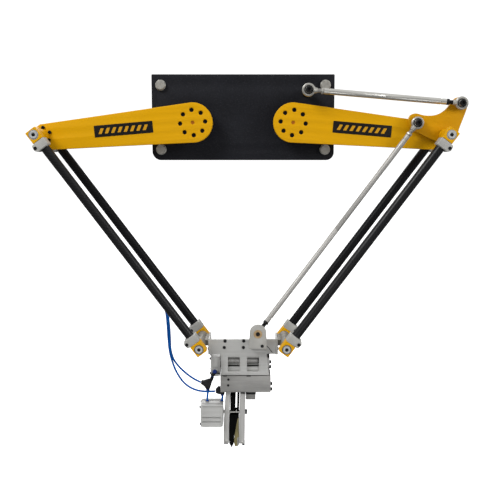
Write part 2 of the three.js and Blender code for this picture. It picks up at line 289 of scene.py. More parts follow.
    def hex_head(self, M, af=19.0, h=7.5, material=None, cham=True):
        """hexagon with a turned chamfer on top"""
        nn = 36
        b = bmesh.new()
        R = af / 2 / math.cos(math.pi / 6)
        def hexr(i):
            t = 2 * math.pi * i / nn
            return (af / 2) / math.cos(((t + math.pi / 6) % (math.pi / 3)) - math.pi / 6)
        rows = []
        top = af / 2 * 0.95
        for z, f in ((0, 0), (0.4, 1), (h * 0.5, 1), (h, 2), (h, 3)):
            row = []
            for i in range(nn):
                t = 2 * math.pi * i / nn
                rr = hexr(i)
                if f == 0:
                    rr = min(rr, R * 0.985)
                    zz = z
                elif f == 1:
                    zz = z if z < 1 else h - max(0.0, (rr - top)) * 0.55 - 0.35
                elif f == 2:
                    rr = min(rr, top + 0.0); zz = h
                else:
                    rr = top * 0.55; zz = h
                row.append(b.verts.new((rr * math.cos(t), rr * math.sin(t), zz)))
            rows.append(row)
        for a, c in zip(rows, rows[1:]):
            for i in range(nn):
                j = (i + 1) % nn
                b.faces.new((a[i], a[j], c[j], c[i]))
        b.faces.new(rows[-1])
        b.faces.new(rows[0][::-1])
        return self._from_bm(b, M, material)

    def hex_nut(self, M, af, h, material, hole=0.0):
        c = 0.12 * af
        R = af / 2 / math.cos(math.pi / 6)
        pts = [(R * math.cos(i * math.pi / 3), R * math.sin(i * math.pi / 3)) for i in range(6)]
        loops = [fillet(pts, 0.5, 2)]
        if hole:
            loops.append(circle((0, 0), hole, 20))
        return self.prism(loops, M, h, material, bevel=0.5, segs=2)

    def washer(self, M, r0, r1, t, material, n=32):
        c = min(0.25, t * 0.3)
        return self.lathe([(r0, 0), (r1 - c, 0), (r1, c), (r1, t - c), (r1 - c, t), (r0 + c, t), (r0, t - c)], M, material, n, closed=True)

    def thread(self, M, r, length, material, pitch=1.25, n=24):
        """turned thread crests along local z"""
        k = max(2, int(length / pitch))
        prof = [(0, 0), (r - 0.5, 0)]
        for i in range(k):
            z = i * length / k
            prof += [(r - 0.55, z + 0.12 * length / k), (r, z + 0.5 * length / k), (r - 0.55, z + 0.88 * length / k)]
        prof += [(r - 0.5, length), (0, length)]
        return self.lathe(prof, M, material, n)

    def done(self, body, *nodes, slot=None, angle=32):
        me = bpy.data.meshes.new(self.name)
        self.bm.to_mesh(me)
        self.bm.free()
        me.transform(Matrix.Scale(0.001, 4))
        me.polygons.foreach_set("use_smooth", [True] * len(me.polygons))
        me.set_sharp_from_angle(angle=math.radians(angle))
        for mt in self.mats:
            me.materials.append(mt)
        me.update()
        ob = bpy.data.objects.new(self.name, me)
        sc.collection.objects.link(ob)
        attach(ob, body)
        if nodes:
            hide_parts(*nodes)
        return ob


# ------------------------------------------------------------------ materials
def shader(name, color, rough, metal=0.0, coat=0.0, spec=0.5, vary=0.15, vscale=40.0, stretch=(1, 1, 1),
           rvary=0.08, bump=0.05, bscale=400.0, bdist=0.0004, bstretch=(1, 1, 1), speck=0.0, speck_scale=900.0, rscale=None):
    """principled surface whose colour, roughness and relief all vary through object-space noise"""
    m = bpy.data.materials.new(name)
    m.use_nodes = True
    nt = m.node_tree
    N, L = nt.nodes, nt.links
    b = N["Principled BSDF"]
    b.inputs["Metallic"].default_value = metal
    b.inputs["Coat Weight"].default_value = coat
    b.inputs["Coat Roughness"].default_value = 0.12
    b.inputs["Specular IOR Level"].default_value = spec
    tc = N.new("ShaderNodeTexCoord")

    def noise(scale, st, detail=3.0):
        mp = N.new("ShaderNodeMapping")
        mp.inputs["Scale"].default_value = st
        L.new(tc.outputs["Object"], mp.inputs["Vector"])
        n = N.new("ShaderNodeTexNoise")
        n.inputs["Scale"].default_value = scale
        n.inputs["Detail"].default_value = detail
        L.new(mp.outputs["Vector"], n.inputs["Vector"])
        return n

    n1 = noise(vscale, stretch)
    ramp = N.new("ShaderNodeValToRGB")
    lo = [max(0.0, c * (1 - vary)) for c in color]
    hi = [min(1.0, c * (1 + vary)) for c in color]
    ramp.color_ramp.elements[0].position = 0.3
    ramp.color_ramp.elements[1].position = 0.7
    ramp.color_ramp.elements[0].color = (*lo, 1)
    ramp.color_ramp.elements[1].color = (*hi, 1)
    L.new(n1.outputs["Fac"], ramp.inputs["Fac"])
    col = ramp.outputs["Color"]
    if speck:
        n4 = noise(speck_scale, (1, 1, 1), 2.0)
        r4 = N.new("ShaderNodeValToRGB")
        r4.color_ramp.elements[0].position = 0.56
        r4.color_ramp.elements[1].position = 0.72
        r4.color_ramp.elements[0].color = (0, 0, 0, 1)
        r4.color_ramp.elements[1].color = (1, 1, 1, 1)
        L.new(n4.outputs["Fac"], r4.inputs["Fac"])
        mx = N.new("ShaderNodeMix")
        mx.data_type = "RGBA"
        mx.blend_type = "SCREEN"
        sc_ = N.new("ShaderNodeMath")
        sc_.operation = "MULTIPLY"
        sc_.inputs[1].default_value = speck
        L.new(r4.outputs["Color"], sc_.inputs[0])
        L.new(sc_.outputs[0], mx.inputs[0])
        L.new(col, mx.inputs[6])
        mx.inputs[7].default_value = (*[min(1, c * 2.6 + 0.02) for c in color], 1)
        col = mx.outputs[2]
    L.new(col, b.inputs["Base Color"])
    n2 = noise(rscale or vscale * 2.3, stretch, 4.0)
    mr = N.new("ShaderNodeMapRange")
    mr.inputs["To Min"].default_value = max(0.02, rough - rvary)
    mr.inputs["To Max"].default_value = min(1.0, rough + rvary)
    mr.inputs["From Min"].default_value = 0.3
    mr.inputs["From Max"].default_value = 0.7
    L.new(n2.outputs["Fac"], mr.inputs["Value"])
    L.new(mr.outputs["Result"], b.inputs["Roughness"])
    n3 = noise(bscale, bstretch, 3.0)
    bp = N.new("ShaderNodeBump")
    bp.inputs["Strength"].default_value = bump
    bp.inputs["Distance"].default_value = bdist
    L.new(n3.outputs["Fac"], bp.inputs["Height"])
    L.new(bp.outputs["Normal"], b.inputs["Normal"])
    return m


POWDER = shader("powder_black", (0.0098, 0.0104, 0.0140), 0.62, 0.0, spec=0.16, vary=0.16, vscale=18, rvary=0.08, bump=0.6, bscale=620, bdist=0.0009, speck=0.28, speck_scale=480)
# darker, warmer copy of the aluminium: painted shade for the bracket tube and box between the wrist knuckles
ALU_SHADE = shader("aluminium_painted_shade", (0.20, 0.182, 0.150), 0.5, 0.3, vary=0.10, vscale=60, rvary=0.08, bump=0.08, bscale=420, bdist=0.0003)
YELLOW_DEEP = shader("yellow_paint_deep", (0.625, 0.295, 0.0004), 0.46, 0.0, coat=0.03, spec=0.12, vary=0.022, vscale=14, rvary=0.07, bump=0.12, bscale=260, bdist=0.0005)
YELLOW = shader("yellow_paint", (0.72, 0.365, 0.0005), 0.46, 0.0, coat=0.03, spec=0.12, vary=0.022, vscale=14, rvary=0.07, bump=0.12, bscale=260, bdist=0.0005)
ALU = shader("aluminium_machined", (0.50, 0.50, 0.485), 0.46, 0.35, spec=0.4, vary=0.07, vscale=7, stretch=(1, 1, 26), rvary=0.10, bump=0.16, bscale=40, bdist=0.0003, bstretch=(1, 1, 34))
ALU_DARK = shader("aluminium_worn", (0.335, 0.33, 0.318), 0.48, 0.35, spec=0.4, vary=0.20, vscale=16, stretch=(1, 1, 5), rvary=0.12, bump=0.2, bscale=40, bdist=0.0004, bstretch=(1, 1, 24))
ALU_END = shader("aluminium_cut_ends", (0.50, 0.495, 0.48), 0.48, 0.35, spec=0.4, vary=0.08, vscale=7, stretch=(24, 24, 1), rvary=0.10, bump=0.14, bscale=40, bdist=0.0003, bstretch=(30, 30, 1))
COLLAR = shader("collar_cast", (0.44, 0.435, 0.41), 0.52, 0.2, spec=0.35, vary=0.08, vscale=60, rvary=0.09, bump=0.16, bscale=520, bdist=0.0004)
EXTRUDED = shader("anodised_extrusion", (0.54, 0.54, 0.525), 0.50, 0.25, spec=0.4, vary=0.05, vscale=8, stretch=(1, 20, 20), rvary=0.08, bump=0.12, bscale=30, bdist=0.0003, bstretch=(1, 30, 30))
STEEL = shader("steel_ground", (0.58, 0.57, 0.545), 0.26, 0.95, vary=0.07, vscale=50, rvary=0.07, bump=0.08, bscale=900, bdist=0.0002)
ROD_SATIN = shader("steel_satin_tube", (0.43, 0.42, 0.398), 0.46, 0.35, vary=0.06, vscale=22, rvary=0.04, bump=0.01, bscale=500, bdist=0.0002)
ROD = shader("steel_polished_tube", (0.66, 0.65, 0.61), 0.30, 0.85, vary=0.04, vscale=22, rvary=0.03, bump=0.004, bscale=500, bdist=0.0002)
ZINC = shader("zinc_plated", (0.44, 0.43, 0.395), 0.42, 0.6, vary=0.16, vscale=130, rvary=0.11, bump=0.14, bscale=420, bdist=0.0004)
BLACKOX = shader("black_oxide", (0.0065, 0.0065, 0.0075), 0.44, 0.2, spec=0.3, vary=0.25, vscale=160, rvary=0.08, bump=0.12, bscale=600, bdist=0.0003)
WASHER_LIGHT = shader("steel_washer_light", (0.47, 0.48, 0.478), 0.5, 0.15, vary=0.07, vscale=120, rvary=0.08, bump=0.05, bscale=600, bdist=0.0003)
RING_GREY = shader("bearing_ring_grey", (0.17, 0.162, 0.150), 0.45, 0.3, vary=0.12, vscale=120, rvary=0.08, bump=0.06, bscale=600, bdist=0.0003)
RING_PALE = shader("bearing_ring_pale", (0.43, 0.44, 0.43), 0.48, 0.2, vary=0.08, vscale=120, rvary=0.08, bump=0.05, bscale=600, bdist=0.0003)
WASHER_DARK = shader("steel_washer_dull", (0.34, 0.33, 0.31), 0.45, 0.5, vary=0.12, vscale=120, rvary=0.1, bump=0.12, bscale=600, bdist=0.0003)
BEARING = shader("bearing_seal", (0.045, 0.045, 0.047), 0.42, 0.3, spec=0.4, vary=0.2, vscale=160, rvary=0.08, bump=0.12, bscale=600, bdist=0.0003)
MOTOR = shader("motor_enamel", (0.018, 0.019, 0.023), 0.40, 0.0, coat=0.15, spec=0.35, vary=0.18, vscale=30, rvary=0.08, bump=0.14, bscale=300, bdist=0.0004)
CASTING = shader("gearbox_casting", (0.30, 0.30, 0.295), 0.5, 0.6, vary=0.13, vscale=45, rvary=0.1, bump=0.3, bscale=380, bdist=0.0006)
RUBBER = shader("black_rubber", (0.0030, 0.0030, 0.0032), 0.82, 0.0, spec=0.05, vary=0.3, vscale=60, rvary=0.1, bump=0.35, bscale=500, bdist=0.0006)
PAD = shader("cast_urethane", (0.205, 0.175, 0.080), 0.5, 0.0, spec=0.3, vary=0.28, vscale=55, rvary=0.1, bump=0.14, bscale=260, bdist=0.0005)
PLASTIC = shader("black_plastic", (0.0065, 0.0065, 0.0085), 0.45, 0.0, spec=0.25, vary=0.2, vscale=80, rvary=0.08, bump=0.16, bscale=650, bdist=0.0003)
COLLET = shader("collet_blue", (0.004, 0.024, 0.165), 0.40, 0.0, spec=0.3, vary=0.12, vscale=90, rvary=0.07, bump=0.08, bscale=500, bdist=0.0003)
HOSE = shader("hose_blue", (0.0016, 0.098, 0.40), 0.50, 0.0, coat=0.0, spec=0.10, vary=0.10, vscale=28, rvary=0.06, bump=0.06, bscale=240, bdist=0.0003)
BRASS = shader("sintered_bronze", (0.46, 0.32, 0.17), 0.45, 0.6, vary=0.16, vscale=160, rvary=0.1, bump=0.18, bscale=900, bdist=0.0003)
DIMPLE = shader("hub_plug", (0.42, 0.135, 0.008), 0.55, 0.0, spec=0.2, vary=0.18, vscale=200, rvary=0.1, bump=0.15, bscale=700, bdist=0.0003)
LABEL = shader("label_black", (0.0085, 0.0075, 0.0065), 0.40, 0.0, spec=0.2, vary=0.12, vscale=40, rvary=0.06, bump=0.05, bscale=300, bdist=0.0002)
LABEL_INK = shader("label_yellow", (0.60, 0.295, 0.010), 0.40, 0.0, spec=0.2, vary=0.06, vscale=60, rvary=0.06, bump=0.05, bscale=300, bdist=0.0002)


def carbon_material():
    """2x2 twill on a tube whose axis is the object's local z"""
    m = bpy.data.materials.new("carbon_twill")
    m.use_nodes = True
    nt = m.node_tree
    N, L = nt.nodes, nt.links
    b = N["Principled BSDF"]
    b.inputs["Coat Weight"].default_value = 0.06
    b.inputs["Coat Roughness"].default_value = 0.22
    b.inputs["Specular IOR Level"].default_value = 0.22
    tc = N.new("ShaderNodeTexCoord")
    sep = N.new("ShaderNodeSeparateXYZ")
    L.new(tc.outputs["Object"], sep.inputs[0])

    def math_node(op, a, c=None):
        n = N.new("ShaderNodeMath")
        n.operation = op
        for i, v in enumerate((a, c)):
            if v is None:
                continue
            if isinstance(v, (int, float)):
                n.inputs[i].default_value = v
            else:
                L.new(v, n.inputs[i])
        return n.outputs[0]

    ang = math_node("ARCTAN2", sep.outputs["Y"], sep.outputs["X"])
    u = math_node("MULTIPLY", ang, 32 / (2 * math.pi))
    v = math_node("MULTIPLY", sep.outputs["Z"], 1000 / 1.8)
    fu, fv = math_node("FLOOR", u), math_node("FLOOR", v)
    k = math_node("FLOORED_MODULO", math_node("ADD", fu, fv), 4.0)
    warp = math_node("LESS_THAN", k, 1.5)
    pu = math_node("ABSOLUTE", math_node("SUBTRACT", math_node("FRACT", u), 0.5))
    pv = math_node("ABSOLUTE", math_node("SUBTRACT", math_node("FRACT", v), 0.5))
    mixh = N.new("ShaderNodeMix")
    L.new(warp, mixh.inputs[0])
    L.new(pu, mixh.inputs[2])
    L.new(pv, mixh.inputs[3])
    h = math_node("SUBTRACT", 1.0, mixh.outputs[0])
    nz = N.new("ShaderNodeTexNoise")
    nz.inputs["Scale"].default_value = 14.0
    L.new(tc.outputs["Object"], nz.inputs["Vector"])
    shade = math_node("ADD", math_node("MULTIPLY", warp, 0.35), math_node("MULTIPLY", nz.outputs["Fac"], 0.65))
    ramp = N.new("ShaderNodeValToRGB")
    ramp.color_ramp.elements[0].color = (0.0030, 0.0030, 0.0036, 1)
    ramp.color_ramp.elements[1].color = (0.0125, 0.0126, 0.0140, 1)
    L.new(shade, ramp.inputs["Fac"])
    L.new(ramp.outputs["Color"], b.inputs["Base Color"])
    mr = N.new("ShaderNodeMapRange")
    mr.inputs["To Min"].default_value = 0.30
    mr.inputs["To Max"].default_value = 0.44
    L.new(shade, mr.inputs["Value"])
    L.new(mr.outputs["Result"], b.inputs["Roughness"])
    bp = N.new("ShaderNodeBump")
    bp.inputs["Strength"].default_value = 0.22
    bp.inputs["Distance"].default_value = 0.0003
    L.new(h, bp.inputs["Height"])
    L.new(bp.outputs["Normal"], b.inputs["Normal"])
    return m


CARBON = carbon_material()
# copy of the twill with less sheen and no coat so the rear tubes render darker: painted shade
CARBON_BACK_SHADED = carbon_material()
CARBON_BACK_SHADED.name = "carbon_twill_painted_shade"
CARBON_BACK_SHADED.node_tree.nodes["Principled BSDF"].inputs["Coat Weight"].default_value = 0.0
CARBON_BACK_SHADED.node_tree.nodes["Principled BSDF"].inputs["Specular IOR Level"].default_value = 0.09


# ------------------------------------------------------------------ air hoses
def spline(pts, per=10):
    """centripetal Catmull-Rom through the points"""
    P = [Vector(p) for p in pts]
    P = [P[0] * 2 - P[1]] + P + [P[-1] * 2 - P[-2]]
    out = []
    for i in range(1, len(P) - 2):
        p0, p1, p2, p3 = P[i - 1:i + 3]
        t0 = 0.0
        t1 = t0 + (p1 - p0).length ** 0.5
        t2 = t1 + (p2 - p1).length ** 0.5
        t3 = t2 + (p3 - p2).length ** 0.5
        for j in range(per):
            t = t1 + (t2 - t1) * j / per
            a1 = p0 * ((t1 - t) / (t1 - t0)) + p1 * ((t - t0) / (t1 - t0))
            a2 = p1 * ((t2 - t) / (t2 - t1)) + p2 * ((t - t1) / (t2 - t1))
            a3 = p2 * ((t3 - t) / (t3 - t2)) + p3 * ((t - t2) / (t3 - t2))
            b1 = a1 * ((t2 - t) / (t2 - t0)) + a2 * ((t - t0) / (t2 - t0))
            b2 = a2 * ((t3 - t) / (t3 - t1)) + a3 * ((t - t1) / (t3 - t1))
            out.append(b1 * ((t2 - t) / (t2 - t1)) + b2 * ((t - t1) / (t2 - t1)))
    out.append(P[-2])
    return out


UPPER_HOSE = [[-154.4, -101.2, -377.4], [-153.2, -97.8, -380], [-151.9, -93.2, -386], [-150.6, -88.6, -394], [-149.8, -85.2, -407], [-148.7, -82.4, -422],
              [-147.9, -80.6, -444.7], [-147.0, -78.9, -468.5], [-141.6, -75.4, -489.6], [-130.9, -71, -506.3], [-117.9, -66.4, -520.8], [-102.5, -61.6, -534], [-87.9, -57.6, -543]]
LOWER_HOSE = [[-159.5, -101.2, -370.6], [-158.4, -96.8, -373.6], [-156.6, -89.5, -381], [-154.6, -83, -393], [-153.0, -79.2, -416], [-151.6, -77, -447], [-149.4, -75, -473.3],
              [-144.9, -73.5, -493.3], [-139.4, -72, -510.2], [-132.0, -70, -525.7], [-121.2, -67.6, -541.3], [-107.2, -64.6, -553], [-91.5, -61, -560], [-76, -58, -562.6], [-58.2, -57, -562.4]]


def tube_mesh(name, pts, r, material, n=20):
    P = Piece(name)
    P.tube(pts, r, material, n=n)
    me = bpy.data.meshes.new(name)
    P.bm.to_mesh(me)
    P.bm.free()
    me.transform(Matrix.Scale(0.001, 4))
    me.polygons.foreach_set("use_smooth", [True] * len(me.polygons))
    me.set_sharp_from_angle(angle=math.radians(40))
    me.materials.append(material)
    ob = bpy.data.objects.new(name, me)
    sc.collection.objects.link(ob)
    return ob


def hose(name, pts, split, node):
    line = list(reversed(spline(pts)))
    k = min(range(len(line)), key=lambda i: (line[i] - Vector(pts[split])).length)
    low, high = line[:k + 1], line[k:]
    for part, tag, a, b in ((low, "_lower_half", "platform", "left_wrist_shaft"), (high, "_upper_half", "left_wrist_shaft", "left_forearm")):
        ob = tube_mesh(name + tag, part, 2.0, HOSE)
        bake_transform(ob)
        if tag == "_lower_half":
            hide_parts(node)
        length = sum((q - p).length for p, q in zip(part, part[1:])) * 0.001
        [tuple(p * 0.001) for p in part]


hose("air_hose_upper", UPPER_HOSE, 7, "air_hose_upper")
hose("air_hose_lower", LOWER_HOSE, 6, "air_hose_lower")


# ------------------------------------------------------------------ base
P = Piece("base_plate_powder_coated")
hw, hh = 186.0, 86.5
outline = fillet([(-hw, hh), (-hw, -hh), (hw, -hh), (hw, hh)], [2.0, 18.0, 16.0, 2.0], 10)
bolts = [(sx * 167.5, sz * 64.75) for sx in (-1, 1) for sz in (-1, 1)]
P.prism([outline] + [circle(b, 6.5, 28) for b in bolts] + [circle(SR, 35.6, 72), circle(SL, 35.6, 72)], facing_front((0, 0), 0), 15.0, POWDER, bevel=1.1, segs=3)
P.done("base", "base_plate", slot="powder_black")

P = Piece("mounting_bolts")
for i, b in enumerate(bolts):
    turn = (math.cos(0.35 + i), 0, math.sin(0.35 + i))
    P.washer(facing_front(b, -15.05), 6.2, 10.8, 1.5, ZINC)
    P.hex_head(facing_front(b, -16.75, turn), af=18.2, h=6.2, material=ZINC)
    P.lathe([(0, 0), (5.7, 0), (5.7, 15.4), (0, 15.4)], facing_front(b, -0.6), ZINC, 24)
P.done("base", "mounting_bolt_top_left", "mounting_bolt_top_right", "mounting_bolt_bottom_left", "mounting_bolt_bottom_right", slot="bolt_steel")

for c, side in ((SL, "left"), (SR, "right")):
    P = Piece(side + "_gearbox_and_servo")
    B = facing_back(c, 0.0)
    P.lathe([(0, -20), (34.2, -20), (35, -19.2), (35, 0.2), (0, 0.2)], B, CASTING, 64)
    P.lathe([(0, 0.3), (41, 0.3), (42, 1.3), (42, 9), (41.2, 9.8), (39.4, 10.2), (39.4, 15), (42, 15.8), (42, 21), (39.4, 21.8), (39.4, 26.4), (42, 27.2), (42, 36), (41, 38), (36, 43), (34, 46), (0, 46)], B, CASTING, 64)
    for i in range(8):
        a = (22.5 + 45 * i) * rad
        P.lathe([(0, 0), (2.2, 0), (2.2, 35.5), (0, 35.5)], facing_back((c[0] + 40.0 * math.cos(a), c[1] + 40.0 * math.sin(a)), 0.5), CASTING, 12)
    sq = fillet([(-29, -29), (29, -29), (29, 29), (-29, 29)], 5.0, 6)
    P.prism([sq], facing_back(c, 45.5), 7.0, CASTING, bevel=0.8)
    sq2 = fillet([(-28, -28), (28, -28), (28, 28), (-28, 28)], 9.0, 6)
    P.prism([sq2], facing_back(c, 52.6), 46.0, MOTOR, bevel=1.0)
    P.prism([sq], facing_back(c, 98.8), 13.2, PLASTIC, bevel=2.0, segs=4)
    for k in range(6):
        z = 57.0 + 6.5 * k
        P.prism([fillet([(-28.7, -28.7), (28.7, -28.7), (28.7, 28.7), (-28.7, 28.7)], 9.4, 6)], facing_back(c, z), 2.6, MOTOR, bevel=0.5, segs=2)
    for sx in (-1, 1):
        for sz in (-1, 1):
            P.socket_screw(facing_back((c[0] + sx * 23.5, c[1] + sz * 23.5), 111.2), d=5.2, h=0.8, key=2.5, material=BLACKOX)
            P.socket_screw(axes((c[0] + sx * 24.2, 52.4, c[1] + sz * 24.2), (0, 1, 0), (1, 0, 0)), d=6.4, h=5.0, key=3, material=BLACKOX)
    P.box(c[0] - 13, c[0] + 13, 70, 96, c[1] + 27.5, c[1] + 33.5, PLASTIC, 1.4, 3)
    for dy in (76.5, 89.5):
        U = axes((c[0], dy, c[1] + 33.4), (0, 0, 1), (1, 0, 0))
        P.lathe([(0, 0), (5.8, 0), (5.8, 1.2), (4.9, 1.4), (4.9, 3.0), (5.5, 3.2), (5.5, 7.0), (5.0, 7.4), (4.1, 7.4), (4.1, 4.0), (0, 4.0)], U, BLACKOX if dy < 80 else CASTING, 28)
        for k in range(5):
            a = 2 * math.pi * k / 5
            P.lathe([(0, 4.0), (0.45, 4.0), (0.45, 6.4), (0, 6.7)], U @ Matrix.Translation((2.4 * math.cos(a), 2.4 * math.sin(a), 0)), BRASS, 10)
    P.done("base", side + "_geared_motor", slot="motor_paint")

P = Piece("tie_rod_post_turned")
P.lathe([(0, 0), (9, 0), (9, 3), (8.6, 3.4), (8.0, 3.8), (8.0, 50), (8.6, 50.6), (9, 51), (9, 58.6), (8.3, 59.3), (0, 59.3)], facing_front(POST, -15.3), BLACKOX, 36)
P.lathe([(0, 0), (3.9, 0), (3.9, 14.6), (0, 14.6)], facing_front(POST, -74.4), BLACKOX, 24)
P.socket_screw(facing_front(POST, -88.05), d=12.8, h=7.4, key=6.0, material=BLACKOX)
P.done("base", "tie_rod_post", slot="black_steel")


# ------------------------------------------------------------------ upper arms
def loc(c, u, a, b):
    """point a along and b across from c, along unit (u0, u1)"""
    return (c[0] + u[0] * a - u[1] * b, c[1] + u[1] * a + u[0] * b)


for sh, el, side, sg in ((SR, ER, "right", 1), (SL, EL, "left", -1)):
    u = unit(sh, el)
    X = (u[0], 0, u[1])
    hub = arc((0, 0), 39.6, 86, 268, 44)
    tip = fillet([(150, -34.0), (283, -29.5), (312, -16.5), (318.5, -8), (320.5, 0), (319, 8), (312, 17), (303, 22.6), (150, 31.2)],
                 [0, 9, 6, 5, 6, 5, 6, 6, 0], 5)
    pts = [(a, b * sg) for a, b in hub + tip]
    face = facing_front(sh, -42.0, X)
    holes = [(25 * math.cos(i * 45 * rad), 25 * math.sin(i * 45 * rad)) for i in range(8)]
    P = Piece(side + "_upper_arm_painted")
    P.prism([pts] + [circle(h, 4.35, 28) for h in holes] + [circle((0, 0), 3.6, 28), circle((300, 0), 7.4, 32)], face, 16.0, YELLOW, bevel=1.0, segs=3)
    for i, h in enumerate(holes):
        p = loc(sh, u, *h)
        P.socket_screw(facing_front(p, -49.0, (math.cos(i), 0, math.sin(i))), d=8.2, h=6.6, key=4.0, material=BLACKOX)
    P.lathe([(0, 0), (3.55, 0), (3.55, 14.2), (2.9, 14.9), (1.4, 14.9), (1.0, 14.3), (0, 14.1)], facing_front(sh, -42.2), DIMPLE, 28)
    # screws round the elbow bearing seat
    for i in range(6):
        a = (24.6 + 60 * i) * rad if side == "left" else (155.4 - 60 * i) * rad
        R = 15.8
        p = (el[0] + R * math.cos(a), el[1] + R * math.sin(a))
        P.socket_screw(facing_front(p, -57.9, (math.cos(i), 0, math.sin(i))), d=7.0, h=3.0, key=3.4, material=BLACKOX)
    P.done(side + "_upper_arm", side + "_upper_arm", slot="yellow_paint")
    # plain panel on the arm's face
    P = Piece(side + "_arm_panel")
    pc = loc(sh, u, 138.0, -1.2 * sg)
    lab = fillet([(-58.5, -11.6), (58.5, -11.6), (58.5, 11.6), (-58.5, 11.6)], 1.0, 4)
    F = facing_front(pc, -58.02, (sg * u[0], 0, sg * u[1]))
    P.prism([lab], F, 0.5, LABEL, bevel=0.12, segs=2)
    for k in range(8):
        x0 = -50.6 + 12.6 * k
        bar = fillet([(x0, -5.4), (x0 + 6.4, -5.4), (x0 + 11.6, 5.4), (x0 + 5.2, 5.4)], 0.5, 3)
        P.prism([bar], F @ Matrix.Translation((0, 0, 0.46)), 0.16, LABEL_INK, bevel=0.03, segs=1)
    P.done(side + "_upper_arm")
    P = Piece(side + "_output_flange_turned")
    P.lathe([(0, 0), (29, 0), (30, 1), (30, 6.0), (36, 7.0), (36, 20.4), (35.2, 21.2), (0, 21.2)], facing_front(sh, -20.4), BLACKOX, 64)
    for i in range(12):
        a = (15 + 30 * i) * rad
        P.lathe([(0, 0), (1.9, 0), (1.9, 2.0), (1.4, 2.4), (0, 2.4)], axes((sh[0] + 36.0 * math.cos(a), -34.5, sh[1] + 36.0 * math.sin(a)), (math.cos(a), 0, math.sin(a)), (0, 1, 0)) @ Matrix.Translation((0, 0, -2.2)), ZINC, 14)
    P.done(side + "_upper_arm", side + "_output_flange", slot="black_steel")
    P = Piece(side + "_elbow_bearing_housing")
    P.lathe([(7.5, 0), (14.6, 0), (15.5, 0.9), (15.5, 31.5), (16.5, 34.0), (22.2, 34.8), (23, 35.6), (23, 40.4), (22.4, 41.0), (7.5, 41.0)], facing_front(el, -0.6), ALU_END, 48, closed=True)
    for i in range(6):
        a = (30 + 60 * i) * rad
        P.socket_screw(facing_back((el[0] + 19.0 * math.cos(a), el[1] + 19.0 * math.sin(a)), -35.6), d=5.4, h=3.0, key=2.5, material=BLACKOX)
    P.done(side + "_upper_arm", side + "_elbow_housing", slot="aluminium")

P = Piece("left_elbow_shaft_ground")
P.lathe([(0, 0), (6.0, 0), (6.8, 0.8), (6.8, 40), (6.8, 57.7), (10.0, 57.7), (10.5, 58.2), (10.5, 76.5), (9.9, 77.1), (9.9, 79.9), (10.5, 80.5), (10.5, 98.4), (10.1, 98.8), (0, 98.8)], facing_front(EL, -0.6), STEEL, 40)
P.lathe([(10.4, 58.0), (12.0, 58.0), (12.6, 58.6), (12.6, 97.8), (12.0, 98.4), (10.4, 98.4)], facing_front(EL, -0.6), YELLOW, 48, closed=True)
P.done("left_upper_arm", "left_elbow_shaft", slot="bolt_steel")


# ------------------------------------------------------------------ bell crank and tie rods
P = Piece("bell_crank_painted")
prof = [(326.7, -13.4), (327.3, -3.7), (330.8, 2.2), (340.6, 5.3), (357.2, 1.6), (372.6, 1.2), (386.7, 4.6), (398.2, 12), (405, 20),
        (411.5, 28.3), (418, 35), (427.4, 37), (436, 33.5), (440.8, 26), (440.6, 15), (433.6, -5.6), (426.6, -24.9), (422.7, -40.7),
        (409.2, -49.5), (393.4, -50.5), (378.1, -47.7), (339.1, -29), (329.5, -21.8)]
P.prism([smooth_loop(prof, 6), circle(ER, 7.5, 32), circle(CRANK_LOW, 4.4, 24), circle(CRANK_TOP, 4.4, 24)], facing_front((0, 0), -62.0), 10.0, YELLOW_DEEP, bevel=1.0, segs=3)
P.done("bell_crank", "bell_crank", slot="yellow_paint")


def pivot_bolt(name, c, body, node):
    P = Piece(name)
    P.lathe([(0, 0), (3.4, 0), (3.9, 0.5), (3.9, 26.2), (0, 26.2)], facing_front(c, -62.5), BLACKOX, 24)
    P.washer(facing_front(c, -72.3), 4.0, 7.0, 2.3, ZINC, 28)
    P.socket_screw(facing_front(c, -88.05, (0.9, 0, 0.4)), d=12.8, h=7.4, key=6.0, material=BLACKOX)
    P.done(body, node, slot="black_steel")


pivot_bolt("crank_top_bolt_socket", CRANK_TOP, "bell_crank", "crank_top_bolt")
pivot_bolt("crank_lower_bolt_socket", CRANK_LOW, "crank_lower_bolt", "crank_lower_bolt")


